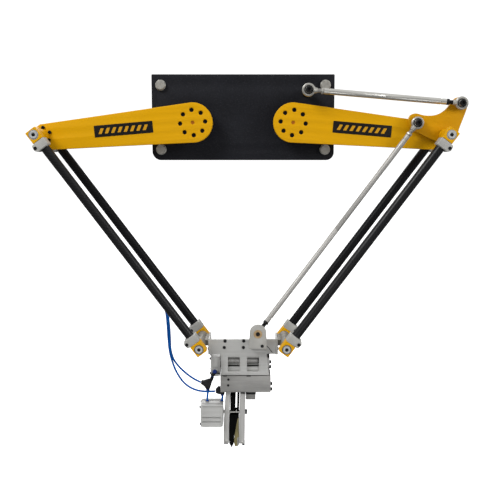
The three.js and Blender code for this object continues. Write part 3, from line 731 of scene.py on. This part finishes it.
def tie_rod(name, a, b, rr, ra, body):
    u = unit(a, b)
    L = math.hypot(b[0] - a[0], b[1] - a[1])
    for c, d, tag in ((a, (u[0], u[1]), "_end_a"), (b, (-u[0], -u[1]), "_end_b")):
        P = Piece(name + tag + "_ball_joint")
        # housing ring with a rounded outside, narrower than the ball
        P.lathe([(8.9, -4.6), (rr - 1.6, -4.6), (rr - 0.5, -3.9), (rr, -2.6), (rr, 2.6), (rr - 0.5, 3.9), (rr - 1.6, 4.6), (8.9, 4.6)], facing_front(c, ROD_Y), ZINC, 48, closed=True)
        # liner and ball
        P.lathe([(8.95, -4.3), (8.95, 4.3), (7.7, 4.3), (7.7, -4.3)], facing_front(c, ROD_Y), BLACKOX, 40, closed=True)
        ball = [(4.65, -6.1)] + [(8.4 * math.cos(t * rad), 8.4 * math.sin(t * rad)) for t in range(-46, 47, 8)] + [(4.65, 6.1)]
        P.lathe(ball, facing_front(c, ROD_Y), STEEL, 40, closed=True)
        # neck, threaded shank and jam nut
        Z = axes((c[0], ROD_Y, c[1]), (d[0], 0, d[1]), (0, 1, 0))
        P.lathe([(0, rr - 3.2), (6.6, rr - 3.2), (6.0, rr - 0.5), (5.2, rr + 2.6), (4.6, rr + 4.6), (0, rr + 4.6)], Z, ZINC, 30)
        dark = BLACKOX if tag == "_end_b" else WASHER_DARK
        P.thread(Z @ Matrix.Translation((0, 0, rr + 4.2)), 4.3, 25.4 - rr - 4.2, dark, pitch=1.2)
        P.hex_nut(Z @ Matrix.Translation((0, 0, 24.6)), 11.6 if rr > 12.5 else 10.4, 4.6, dark if tag == "_end_b" else ZINC)
        P.done(body, name + tag, slot="zinc")
    P = Piece(name + "_sleeve_polished")
    Z = axes((a[0], ROD_Y, a[1]), (u[0], 0, u[1]), (0, 1, 0)) @ Matrix.Translation((0, 0, 29.8))
    n = L - 59.6
    k = ra - 0.9
    P.lathe([(0, 0), (k, 0), (ra - 0.2, 0.7), (ra - 0.2, 9.4), (ra - 0.9, 10.0), (ra - 0.9, 11.2), (ra, 12.0), (ra, n * 0.5 - 0.6), (ra - 0.12, n * 0.5 - 0.4), (ra - 0.12, n * 0.5 + 0.4), (ra, n * 0.5 + 0.6),
             (ra, n - 12.0), (ra - 0.9, n - 11.2), (ra - 0.9, n - 10.0), (ra - 0.2, n - 9.4), (ra - 0.2, n - 0.7), (k, n), (0, n)], Z, ROD if ra > 5.5 and name.startswith("upper") else ROD_SATIN, 48)
    P.done(body, name + "_sleeve", slot="bolt_steel")


tie_rod("upper_tie_rod", POST, CRANK_TOP, 13.0, 6.0, "upper_tie_rod")
tie_rod("lower_tie_rod", CRANK_LOW, LUG, 12.3, 5.2, "lower_tie_rod")


# ------------------------------------------------------------------ shafts
def shaft_ends(P, c, front=True, back=True):
    for on, F in ((front, facing_front(c, -125.02)), (back, facing_back(c, 25.02))):
        if on:
            P.lathe([(3.5, 0), (7.0, 0), (7.3, 0.3), (7.3, 1.3), (6.9, 1.7), (4.6, 1.7), (3.9, 1.2), (3.5, 1.2)], F, WASHER_LIGHT, 40, closed=True)
            P.socket_screw(F, d=6.9, h=1.35, key=3.4, material=BLACKOX)


def through_shaft(name, c, body, node, collars):
    P = Piece(name)
    P.lathe([(0, 0), (6.3, 0), (6.8, 0.5), (6.8, 149.5), (6.3, 150), (0, 150)], facing_front(c, 25.0), STEEL, 40)
    for y0, y1 in collars:
        P.lathe([(6.7, 0), (10.0, 0), (10.5, 0.5), (10.5, y1 - y0 - 0.5), (10.0, y1 - y0), (6.7, y1 - y0)], facing_front(c, y1), STEEL, 40, closed=True)
    if c is ER:
        P.lathe([(10.4, 0.2), (12.0, 0.2), (12.6, 0.8), (12.6, 26.4), (12.0, 27.0), (10.4, 27.0)], facing_front(c, -72.4), YELLOW, 48, closed=True)
    shaft_ends(P, c)
    P.done(body, node, slot="bolt_steel")


through_shaft("right_elbow_shaft_ground", ER, "right_elbow_shaft", "right_elbow_shaft", [(-99.6, -72.4), (-61.6, -58.4)])
through_shaft("right_wrist_shaft_ground", WR, "right_wrist_shaft", "right_wrist_shaft", [(-99.6, -95.4), (-4.6, -0.4)])
through_shaft("left_wrist_shaft_ground", WL, "left_wrist_shaft", "left_wrist_shaft", [(-99.6, -95.4), (-4.6, -0.4)])


# ------------------------------------------------------------------ forearms
for el, wr, side in ((ER, WR, "right"), (EL, WL, "left")):
    u = unit(el, wr)
    out = 1 if side == "right" else -1
    body = side + "_forearm"
    for y, place in ((-112.5, "front"), (12.5, "back")):
        # carbon tube, its axis on local z
        P = Piece(f"{side}_{place}_carbon_tube")
        n = FORE_L - 30.0
        prof = [(7.4, 0), (8.7, 0), (9.0, 0.3), (9.0, n - 0.3), (8.7, n), (7.4, n)]
        rows = [(9.0, 0.3 + (n - 0.6) * i / 24) for i in range(25)]
        P.lathe([(7.4, 0), (8.7, 0)] + rows + [(8.7, n), (7.4, n)], Matrix.Identity(4), CARBON if place == "front" else CARBON_BACK_SHADED, 48, closed=True)
        ob = P.done(body)
        bpy.context.view_layer.update()
        s0 = loc(el, (u[0], u[1]), 15.0, 0)
        M = axes((s0[0] * 0.001, y * 0.001, s0[1] * 0.001), (u[0], 0, u[1]), (0, -1, 0))
        ob.matrix_world = M
        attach(ob, body)
        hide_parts(f"{side}_{place}_tube")
        for o, v, sg, end in ((el, (u[0], u[1]), out, "elbow"), (wr, (-u[0], -u[1]), -out, "wrist")):
            # split clamp collar
            P = Piece(f"{side}_{place}_{end}_collar")
            X = (v[0], 0, v[1])
            main = [(13.9, -12), (13.9, 10.6), (30, 10.6), (30, -12)]
            P.prism([fillet([(a, b * sg) for a, b in main], [1.6, 0.6, 0.6, 1.6], 4)], facing_front(o, y + 12, X), 24.0, COLLAR, bevel=0.7)
            lobe = fillet([(a, b * sg) for a, b in ((14.0, 8.0), (14.2, 13), (15, 16.5), (25, 18), (31.2, 13.2), (30.2, 8.0))], [0.5, 1, 2.4, 3.0, 2.6, 0.5], 4)
            P.prism([lobe], facing_front(o, y + 11.8, X), 11.1, COLLAR, bevel=0.6)
            P.prism([lobe], facing_front(o, y - 0.7, X), 11.1, COLLAR, bevel=0.6)
            sp = loc(o, v, 22.0, 13.4 * sg)
            P.socket_screw(facing_front(sp, y - 11.6), d=6.8, h=0.9, key=3.6, material=BLACKOX)
            P.lathe([(0, 0), (2.6, 0), (2.6, 23), (0, 23)], facing_front(sp, y + 11.5), BLACKOX, 20)
            P.lathe([(0, 0), (3.0, 0), (3.0, 0.5), (2.5, 0.9), (0, 0.9)], facing_back(sp, y + 11.6), BLACKOX, 24)
            # rim that the tube enters
            P.lathe([(8.95, 0), (10.3, 0), (10.3, 0.5), (9.9, 0.9), (8.95, 0.9)], axes((*[o[0] + v[0] * 29.9, y, o[1] + v[1] * 29.9],), (v[0], 0, v[1]), (0, 1, 0)), COLLAR, 36, closed=True)
            P.done(body)
            # knuckle with its bearing
            P = Piece(f"{side}_{place}_{end}_knuckle_block")
            kn = fillet([(-11.4, -11.4), (13.5, -11.4), (13.5, 11.4), (-11.4, 11.4)], [1.4, 0.8, 0.8, 1.4], 5)
            opened = side == "left" and end == "elbow"
            loops = [kn, circle((0, 0), 9.3, 40)]
            P.prism(loops, facing_front(o, y + 12.5, X), 25.0, YELLOW, bevel=0.9, segs=3)
            P.lathe([(7.45, 0.2), (9.35, 0.2), (9.35, 24.8), (8.9, 24.9), (8.7, 24.5), (7.9, 24.5), (7.7, 24.9), (7.45, 24.9)], facing_front(o, y + 12.5, X), RING_GREY if end == "wrist" else RING_PALE, 40, closed=True)
            if opened:
                P.lathe([(0, 0.7), (7.5, 0.7), (7.5, 24.6), (0, 24.6)], facing_front(o, y + 12.5, X), STEEL, 40)
                shaft_ends(P, o, front=place == "front", back=place == "back")
            P.done(body, f"{side}_{place}_{end}_knuckle", slot="yellow_paint")


# ------------------------------------------------------------------ platform
W0 = (0.0, 0.0)
P = Piece("platform_plate_machined")
tee = fillet([(-70.6, -448), (-70.6, -478), (-46, -478), (-44.6, -522.5), (53.5, -522.5), (48.5, -478), (70.6, -478), (70.6, -448)],
             [0.8, 0.8, 1.5, 0.8, 0.8, 1.5, 0.8, 0.8], 4)
win = [fillet([(-30.8, -514.8), (-7, -514.8), (-7, -484.6), (-30.8, -484.6)], 1.6, 4), fillet([(8.2, -514.8), (32, -514.8), (32, -484.6), (8.2, -484.6)], 1.6, 4)]
P.prism([tee] + win, facing_front(W0, -69.5), 8.0, ALU, bevel=0.6, segs=3)
for i, c in enumerate(((-36.5, -450.9), (1.3, -450.9), (-38.3, -464.3), (0.7, -464.3))):
    P.lathe([(3.2, 0), (4.3, 0), (4.3, 0.12), (3.2, 0.12)], facing_front(c, -77.45), ALU_END, 28, closed=True)
    P.socket_screw(facing_front(c, -77.4, (math.cos(i), 0, math.sin(i))), d=6.6, h=1.5, key=3.2, material=BLACKOX)
# scribed diagonal joint of the lug's foot plate
P.prism([fillet([(48.6, -462.2), (49.6, -461.2), (60.2, -474.4), (59.2, -475.4)], 0.3, 2)], facing_front(W0, -77.35), 0.35, BLACKOX, bevel=0.08, segs=1)
P.done("platform", "platform_plate", slot="aluminium")

for wr, sg, side in ((WR, 1, "right"), (WL, -1, "left")):
    P = Piece(side + "_end_bracket_machined")
    xs = sorted((65.6 * sg, 70.9 * sg))
    P.box(xs[0], xs[1], -78.0, -69.2, -479.2, -446.6, COLLAR, 0.8, 3)
    xs = sorted((67.6 * sg, 70.6 * sg))
    P.box(xs[0], xs[1], -69.3, -8, -478, -448, ALU_END, 0.5, 2)
    xs = sorted((70.0 * sg, 79.0 * sg))
    # box and bearing tube take the darker aluminium: painted shade between the wrist knuckles
    P.box(xs[0], xs[1], -66, -8, WZ - 6, WZ + 6, ALU_SHADE, 0.8, 2)
    P.lathe([(7.5, 0), (10.3, 0), (11, 0.7), (11, 24), (10.4, 24.8), (10.4, 64.2), (11, 65), (11, 89.3), (10.3, 90), (7.5, 90)], facing_front(wr, -5.0), ALU_SHADE, 48, closed=True)
    for z in (-472.5,):
        for yy in (-56, -22):
            P.socket_screw(axes((70.5 * sg, yy, z), (sg, 0, 0), (0, 0, 1)), d=6.0, h=2.4, key=3.0, material=BLACKOX)
    P.done("platform", side + "_end_bracket", slot="aluminium")

P = Piece("clevis_lug_machined")
ear = [(12.4, -463.5), (12.4, -447.6)] + arc((LUG[0], LUG[1] + 2.9), 16.6, 184, -4, 24) + [(48, -447.6), (48, -463.5)]
ear = fillet(ear, [0.8, 8] + [0] * 25 + [8, 0.8], 5)
P.prism([ear, circle(LUG, 8.6, 40)], facing_front(W0, -88.2), 5.8, COLLAR, bevel=0.7, segs=3)
P.lathe([(0, 0.0), (8.7, 0.0), (8.7, 5.4), (8.2, 6.0), (5.2, 6.0), (5.0, 5.6), (5.0, 4.6), (0, 4.6)], facing_front(LUG, -88.2), BRASS, 40)
P.socket_screw(facing_front(LUG, -92.9), d=8.2, h=0.9, key=4.4, material=BLACKOX)
P.lathe([(0, 0), (3.9, 0), (3.9, 14.0), (0, 14.0)], facing_front(LUG, -74.6), STEEL, 24)
pad = fillet([(12.4, -463.5), (48, -463.5), (48, -448.6), (12.4, -448.6)], 0.8, 3)
P.prism([pad], facing_front(W0, -77.75), 10.6, COLLAR, bevel=0.6)
P.socket_screw(facing_front((38.7, -457.6), -93.9), d=6.4, h=1.2, key=3.2, material=BLACKOX)
P.done("platform", "clevis_lug", slot="aluminium")

# upper block: body with two channels, seen through the plate's windows
P = Piece("upper_block_machined")
P.box(-44.2, 54.3, -53.6, -30, -522, -484, ALU_END, 0.8)
for z0, z1 in ((-488.3, -484.1), (-502.4, -501.2), (-521.9, -506.8)):
    P.box(-44.1, 54.2, -69.1, -53.2, z0, z1, ALU, 0.35)
P.box(46.2, 54.2, -69.1, -53.2, -521.9, -484.1, ALU, 0.35)
# black bar at the back of the middle channel: painted shade for the dark band seen through the windows
P.box(-44.1, 45.8, -59.6, -53.4, -506.6, -502.6, BLACKOX, 0.3)
for z in (-498, -508):
    P.socket_screw(axes((54.1, -64, z), (1, 0, 0), (0, 0, 1)), d=6.8, h=3.8, key=2.6, material=PLASTIC)
P.done("platform", "upper_block", slot="aluminium")


def compact_cylinder(name, x0, x1, y0, y1, z0, z1, node, slant=0.0):
    """extruded air cylinder lying along X: profile drawn in Y-Z with T-slots, two end covers, corner screws on the
    cover at x0
    """
    P = Piece(name)
    h, d = z1 - z0, y1 - y0
    def slot_pts(a, w, t, axis, sgn):
        return a
    def section(yf, yb, zb, zt, notches):
        pts = []
        # bottom edge front->back, back edge up, top edge back->front, front edge down; T notches cut in each
        def edge(p, q, ns):
            d_ = Vector((q[0] - p[0], q[1] - p[1])); l = d_.length; d_.normalize()
            nrm = Vector((-d_.y, d_.x))
            o = [p]
            for c_, w_, t_ in ns:
                for al, dp in ((c_ - w_ / 2, 0), (c_ - w_ / 2, 0.9), (c_ - w_, 0.9), (c_ - w_, t_), (c_ + w_, t_), (c_ + w_, 0.9), (c_ + w_ / 2, 0.9), (c_ + w_ / 2, 0)):
                    o.append((p[0] + d_.x * al + nrm.x * dp, p[1] + d_.y * al + nrm.y * dp))
            return o
        corners = [(yf, zb), (yb, zb), (yb, zt), (yf, zt)]
        for i in range(4):
            p, q = corners[i], corners[(i + 1) % 4]
            pts += edge(p, q, notches[i])
        return pts
    nz = [(h * 0.24, 2.0, 2.6), (h * 0.43, 2.0, 2.6)]
    ny = [(d * 0.5, 2.2, 2.6)]
    sec = section(y0, y1, z0, z1, [ny, [(h * 0.35, 2.0, 2.6), (h * 0.65, 2.0, 2.6)], [], [(h - a, b, c) for a, b, c in nz][::-1]])
    X = axes((x0 + 4.2, 0, 0), (1, 0, 0), (0, 1, 0))
    P.prism([sec], X, x1 - x0 - 8.4, EXTRUDED, bevel=0.25, segs=2)
    cover = fillet([(y0 + 0.3, z0 + 0.3), (y1 - 0.3, z0 + 0.3), (y1 - 0.3, z1 - 0.3), (y0 + 0.3, z1 - 0.3)], 1.2, 4)
    P.prism([cover], axes((x0 + 0.6, 0, 0), (1, 0, 0), (0, 1, 0)), 3.8, EXTRUDED, bevel=0.5)
    P.prism([cover], axes((x1 - 4.3, 0, 0), (1, 0, 0), (0, 1, 0)), 4.1, EXTRUDED, bevel=0.5)
    for yy in (y0 + 5.2, y1 - 5.2):
        for zz in (z0 + 5.2, z1 - 5.2):
            P.socket_screw(axes((x0 + 0.7, yy, zz), (-1, 0, 0), (0, 0, 1)), d=4.6, h=2.4, key=2.2, material=BLACKOX)
    return P


P = compact_cylinder("upper_air_cylinder", -67.2, -46.8, -72, -30, -526, -485, "upper_cylinder")
P.lathe([(0, 0), (7.2, 0), (7.2, 0.7), (6.4, 0.9), (6.4, 1.0), (0, 1.0)], axes((-47.2, -51, -505.5), (1, 0, 0), (0, 0, 1)), STEEL, 32)
# push-in elbow on its front face
P.lathe([(0, 0), (4.6, 0), (4.6, 2.2), (4.0, 2.6), (4.0, 5.2), (0, 5.2)], facing_front((-57.6, -516.6), -71.8), PLASTIC, 28)
P.tube([(-57.6, -75.6, -516.6), (-60.6, -75.9, -520.6), (-63.2, -75.6, -524.2)], 3.7, PLASTIC, n=20)
P.lathe([(0, 0), (4.0, 0), (4.2, 0.6), (4.2, 3.2), (3.4, 3.8), (0, 3.8)], axes((-57.6, -75.4, -516.4), (-0.35, -0.62, 0.7), (1, 0, 0)), COLLET, 28)
P.box(-56.4, -47.4, -77.6, -74.6, -519.9, -517.5, PLASTIC, 0.7)
P.done("platform", "upper_cylinder", slot="aluminium")

P = Piece("lower_block_machined")
P.box(-46.5, 56.4, -77.5, -28, -558.5, -524.2, ALU_DARK, 0.8, 3)
for c, r in (((-30.0, -531.6), 1.9), ((-30.5, -543.8), 1.9)):
    P.lathe([(0, 0), (r, 0), (r, 0.22), (r + 0.6, 0.3), (r + 0.6, 0.05), (r + 0.7, 0)], facing_front(c, -77.55), BLACKOX, 20)
for x0, x1 in ((-40.5, -33.0), (7.0, 15.4)):
    P.box(x0, x1, -78.0, -76, -525.0, -523.6, BLACKOX, 0.25)
P.box(-44, 53, -71.5, -40, -524.3, -522.2, ALU_DARK, 0.3)
for z in (-542.0, -553.5):
    P.socket_screw(axes((56.2, -70, z), (1, 0, 0), (0, 0, 1)), d=7.0, h=3.8, key=2.8, material=PLASTIC)
P.done("platform", "lower_block", slot="aluminium")

P = Piece("guide_rail_ground")
P.prism([fillet([(-563, -53), (-563, -46), (-560.6, -46.0), (-559.9, -46.7), (-558.8, -46.7), (-558.8, -52.3), (-559.9, -52.3), (-560.6, -53)], 0.25, 2)],
        axes((-24, 0, 0), (1, 0, 0), (0, 0, 1)) @ Matrix.Diagonal((1, -1, 1, 1)), 80.0, BLACKOX, bevel=0.2, segs=1)
P.done("platform", "guide_rail", slot="black_steel")


# ------------------------------------------------------------------ gripper
def bar_piece(P, pts, radii, y_back, depth, mat_=None):
    P.prism([fillet(pts, radii, 4)], facing_front(W0, y_back), depth, mat_ or ALU_END, bevel=0.8, segs=3)


P = Piece("left_finger_machined")
bar_piece(P, [(-35.9, -563.4), (-37.6, -580), (-40.6, -632), (-40.9, -670), (-29.4, -670), (-29.2, -632), (-26.6, -563.4)], 1.0, -45.0, 25.0)
P.box(-35.9, -26.8, -70, -55.5, -565, -558.9, ALU_END, 0.6)
P.socket_screw(facing_front((-35.4, -664.4), -69.9), d=6.0, h=1.0, key=3.0, material=STEEL)
P.box(-40.4, -31.0, -69.2, -46, -672.0, -669.6, BLACKOX, 0.8)
P.done("platform", "left_finger", slot="aluminium")

P = Piece("left_jaw_rubber")
P.prism([fillet([(-28.2, -611), (-28.8, -632), (-29, -671), (-24, -681), (-19.0, -669), (-18.98, -611)], [1.2, 2.0, 2.4, 1.2, 2.4, 1.2], 5)], facing_front(W0, -47.0), 21.0, RUBBER, bevel=1.2, segs=4)
P.prism([fillet([(-26.4, -566.2), (-26.8, -601.6), (-16.2, -601.6), (-15.3, -566.2)], 1.0, 4)], facing_front(W0, -47.0), 21.0, RUBBER, bevel=1.2, segs=4)
P.box(-26.6, -17.2, -52.6, -47.6, -612.5, -600.0, RUBBER, 0.8)
for k in range(9):
    z = -617.0 - 6.0 * k
    P.box(-28.2, -19.0, -68.2, -66.0, z - 0.5, z + 0.5, RUBBER, 0.3, 2)
P.done("platform", "left_jaw", slot="black_rubber")

P = Piece("right_finger_machined")
bar_piece(P, [(-6.4, -563.6), (-8.4, -612), (-8.7, -671), (3, -671), (3.7, -612), (4.8, -563.6)], 1.0, -45.0, 25.0)
P.socket_screw(facing_front((-2.6, -666.0), -69.9), d=4.6, h=0.6, key=2.2, material=STEEL)
P.box(-2.6, 3.2, -69.0, -46, -674.6, -670.6, BLACKOX, 0.8)
P.done("gripper_jaw", "right_finger", slot="aluminium")

P = Piece("guide_carriage_ground")
P.box(5.4, 25.6, -62, -53.9, -579, -567.6, ALU_DARK, 0.8)
P.box(5.4, 25.6, -45.1, -37, -579, -567.6, ALU_DARK, 0.8)
P.box(5.4, 25.6, -53.9, -45.1, -579, -564.0, ALU_END, 0.5)
P.box(5.2, 26.2, -62, -53.6, -568.0, -559.7, PLASTIC, 0.7)
P.box(5.2, 26.2, -45.4, -37.0, -568.0, -559.7, PLASTIC, 0.7)
P.done("gripper_jaw", "guide_carriage", slot="aluminium")

P = Piece("right_jaw_pad_cast")
P.prism([fillet([(-8.95, -611), (-9.0, -650), (-11.2, -664), (-17.6, -662), (-18.93, -650), (-18.93, -611)], [1.2, 1.0, 1.5, 1.5, 1.0, 1.2], 4)], facing_front(W0, -47.5), 20.0, RUBBER, bevel=1.0, segs=3)
P.prism([fillet([(-7.4, -566.2), (-8.6, -601.6), (-13.0, -601.6), (-12.3, -566.2)], 0.8, 3)], facing_front(W0, -47.0), 21.0, RUBBER, bevel=1.0, segs=3)
P.box(-17.6, -9.0, -52.6, -47.6, -612.5, -600.0, RUBBER, 0.8)
P.prism([fillet([(-9.0, -616.0), (-9.0, -676), (-17.4, -678), (-19.2, -669), (-17.4, -650.0), (-14.2, -631.0), (-11.4, -618.0)], [0.6, 1.6, 1.8, 1.8, 4.0, 4.0, 1.0], 5)], facing_front(W0, -46.9), 21.3, PAD, bevel=1.1, segs=4)
P.prism([fillet([(-9.4, -655.0), (-9.3, -675.4), (-12.2, -675.8), (-12.6, -660.0)], [0.8, 0.8, 0.8, 1.0], 4)], facing_front(W0, -67.9), 0.5, ALU_DARK, bevel=0.2, segs=2)
P.done("gripper_jaw", "right_jaw_pad", slot="pad_urethane")

P = Piece("lower_piston_rod_ground")
X = axes((-60, -57.5, -606), (1, 0, 0), (0, 0, 1))
P.lathe([(0, 0), (3.5, 0), (3.5, 63.8), (0, 63.8)], X, STEEL, 28)
P.socket_screw(X @ Matrix.Translation((0, 0, 64.0)), d=10.4, h=4.2, key=4.0, material=BLACKOX)
P.done("gripper_jaw", "lower_piston_rod", slot="bolt_steel")

P = Piece("upper_piston_rod_ground")
X = axes((-55, -61.5, -494.7), (1, 0, 0), (0, 0, 1))
P.lathe([(0, 0), (4.4, 0), (4.8, 0.5), (4.8, 14.0), (6.0, 14.6), (6.2, 15.0), (6.2, 36.0), (5.6, 36.6), (5.6, 38.0), (6.2, 38.6), (6.2, 84.5), (5.7, 85), (0, 85)], X, ALU_END, 36)
P.done("gripper_jaw", "upper_piston_rod", slot="bolt_steel")

# lower cylinder: its outline leans a little, but it is drawn square along X like the upper one
P = compact_cylinder("lower_air_cylinder", -88.2, -41.6, -80, -34, -631.5, -585.0, "lower_cylinder")
# port block and rail along the top
P.box(-84.0, -42.4, -74.0, -66.0, -585.4, -584.1, ALU_DARK, 0.4)
P.box(-84.0, -42.4, -48.0, -40.0, -585.4, -584.1, ALU_DARK, 0.4)
P.box(-83.6, -42.8, -80.2, -79.2, -589.2, -587.2, ALU_DARK, 0.3)
P.lathe([(3.6, 0), (8.6, 0), (8.6, 0.7), (8.0, 1.1), (3.6, 1.1)], axes((-41.9, -57.5, -606), (1, 0, 0), (0, 0, 1)), STEEL, 36, closed=True)
P.done("platform", "lower_cylinder", slot="aluminium")


# ------------------------------------------------------------------ fittings and short links of hose
def collet(P, p, d, r=3.2, h=3.2):
    d = Vector(d).normalized()
    ref = (0, 1, 0) if abs(d.y) < 0.9 else (1, 0, 0)
    P.lathe([(2.15, 0), (r, 0), (r, h * 0.45), (r + 0.5, h * 0.6), (r + 0.5, h), (2.15, h)], axes(p, d, ref), COLLET, 28, closed=True)


P = Piece("fitting_upper_moulded")
body = [(-85.6, -540.4), (-85.9, -547.2), (-80.2, -551.6), (-77.1, -557.0), (-69.4, -557.0), (-67.2, -551.3), (-63.0, -537.6), (-70.8, -535.6)]
P.prism([fillet(body, [1.2, 1.6, 2.0, 0.8, 0.8, 2.0, 1.4, 1.6], 4)], facing_front(W0, -52.4), 9.2, PLASTIC, bevel=2.2, segs=5)
P.lathe([(2.2, 0), (4.6, 0), (4.8, 0.8), (4.8, 2.6), (4.2, 3.2), (2.2, 3.2)], axes((-83.8, -57.2, -543.4), (-0.96, -0.02, 0.2), (0, 1, 0)), PLASTIC, 28, closed=True)
P.lathe([(0, 0), (3.6, 0), (3.6, 8.0), (2.8, 8.8), (0, 8.8)], axes((-66.5, -57.0, -538.8), (0.35, 0, 0.93), (0, 1, 0)), PLASTIC, 28)
collet(P, (-73.2, -57.0, -556.6), (0.0, 0, -1))
P.done("platform", "fitting_upper", slot="black_plastic")

P = Piece("fitting_lower_moulded")
body = [(-57.2, -557.9), (-57.0, -565.6), (-50.5, -568.2), (-38.6, -568.7), (-38.6, -560.3), (-47.3, -559.2), (-47.6, -551.9), (-52.0, -551.9)]
P.prism([fillet(body, [1.4, 1.6, 1.6, 1.0, 1.0, 1.0, 1.0, 1.2], 4)], facing_front(W0, -52.4), 9.2, PLASTIC, bevel=2.2, segs=5)
collet(P, (-43.4, -57.0, -567.6), (0.12, 0, -1))
P.done("platform", "fitting_lower", slot="black_plastic")

P = Piece("hose_links")
link = spline([(-73.2, -57.0, -558.0), (-73.4, -57.0, -565.0), (-74.4, -57.0, -574.0), (-74.6, -57.0, -583.6)], 8)
P.tube(link, 2.0, HOSE, n=20)
link = spline([(-43.0, -57.0, -568.6), (-43.2, -57.2, -575.0), (-44.6, -57.4, -583.6)], 8)
P.tube(link, 2.0, HOSE, n=20)
link = spline([(-64.0, -57.4, -531.6), (-62.2, -62.0, -527.6), (-62.6, -71.0, -524.6), (-63.2, -75.2, -523.4)], 8)
P.tube(link, 2.0, HOSE, n=20)
P.done("platform")

P = Piece("cylinder_port_fittings")
for x in (-74.6, -44.6):
    U = axes((x, -57.0, -585.2), (0, 0, 1), (1, 0, 0))
    P.hex_nut(U, 7.2, 2.2, ALU_DARK, hole=2.3)
    P.lathe([(2.15, 0), (3.5, 0), (3.5, 3.2), (3.0, 3.6), (2.15, 3.6)], U, COLLET, 26, closed=True)
P.done("platform")

# rubber grommets where the hoses enter the left front tube
uf = unit(EL, WL)
P = Piece("hose_grommets")
for q in (UPPER_HOSE[0], LOWER_HOSE[0]):
    P.lathe([(2.05, 0), (4.2, 0), (4.4, 0.5), (4.0, 1.3), (2.9, 1.9), (2.05, 1.9)], axes((q[0], -103.6, q[2]), (0, 1, 0), (1, 0, 0)), RUBBER, 24, closed=True)
P.done("left_forearm")


# ------------------------------------------------------------------ floor and light
def stage_material(name, color):
    m = shader(name, color, 0.85, 0.0, spec=0.2, vary=0.012, vscale=1.2, rvary=0.05, bump=0.02, bscale=60, bdist=0.0005)
    return m


b = bmesh.new()
bmesh.ops.create_circle(b, cap_ends=True, segments=96, radius=60.0)
me = bpy.data.meshes.new("floor")
b.to_mesh(me)
b.free()
fm = stage_material("floor_pale", (0.88, 0.88, 0.88))
fb = fm.node_tree.nodes["Principled BSDF"]
fb.inputs["Emission Color"].default_value = (1, 1, 1, 1)
fb.inputs["Emission Strength"].default_value = 0.9
me.materials.append(fm)
floor = bpy.data.objects.new("floor", me)
sc.collection.objects.link(floor)
floor.location = (0, 0, -1.15)
floor.visible_diffuse = False
floor.visible_glossy = False

# studio surround: dim behind the camera, pale beside and above, bright behind the robot
world = bpy.data.worlds.new("studio")
sc.world = world
world.use_nodes = True
wn, wl = world.node_tree.nodes, world.node_tree.links
bg = wn["Background"]
tcw = wn.new("ShaderNodeTexCoord")
sepw = wn.new("ShaderNodeSeparateXYZ")
wl.new(tcw.outputs["Generated"], sepw.inputs[0])


def wmath(op, a, c=None, clamp=False):
    n = wn.new("ShaderNodeMath")
    n.operation = op
    n.use_clamp = clamp
    for i, v in enumerate((a, c)):
        if v is None:
            continue
        if isinstance(v, (int, float)):
            n.inputs[i].default_value = v
        else:
            wl.new(v, n.inputs[i])
    return n.outputs[0]


up = wmath("MULTIPLY", wmath("MAXIMUM", sepw.outputs["Z"], 0.0), 0.75)
behind = wmath("MULTIPLY", wmath("MAXIMUM", sepw.outputs["Y"], 0.0), 0.12)
side = wmath("MULTIPLY", wmath("ABSOLUTE", sepw.outputs["X"]), 0.30)
total = wmath("ADD", wmath("ADD", wmath("ADD", up, behind), side), 0.14)
comb = wn.new("ShaderNodeCombineColor")
for k in range(3):
    wl.new(total, comb.inputs[k])
lp = wn.new("ShaderNodeLightPath")
mxw = wn.new("ShaderNodeMix")
mxw.data_type = "RGBA"
wl.new(lp.outputs["Is Camera Ray"], mxw.inputs[0])
wl.new(comb.outputs[0], mxw.inputs[6])
mxw.inputs[7].default_value = (1.4, 1.4, 1.4, 1)
wl.new(mxw.outputs[2], bg.inputs["Color"])
bg.inputs["Strength"].default_value = 0.80


def area(name, loc_, target, size, power, size_y=None):
    d = bpy.data.lights.new(name, "AREA")
    d.energy = power
    d.size = size
    if size_y:
        d.shape = "RECTANGLE"
        d.size_y = size_y
    o = bpy.data.objects.new(name, d)
    sc.collection.objects.link(o)
    o.location = loc_
    o.rotation_euler = (Vector(target) - Vector(loc_)).to_track_quat("-Z", "Y").to_euler()
    return o


area("key", (-1.9, -1.9, 1.9), (0, 0, -0.25), 1.2, 62)
area("fill", (2.3, -1.6, 0.6), (0, 0, -0.3), 1.2, 28)
area("low", (0.2, -1.9, -0.95), (0, 0, -0.4), 1.0, 5)
area("rim", (-0.4, 1.9, 0.9), (0, 0, -0.2), 1.2, 14)
sc.view_settings.view_transform = "Standard"
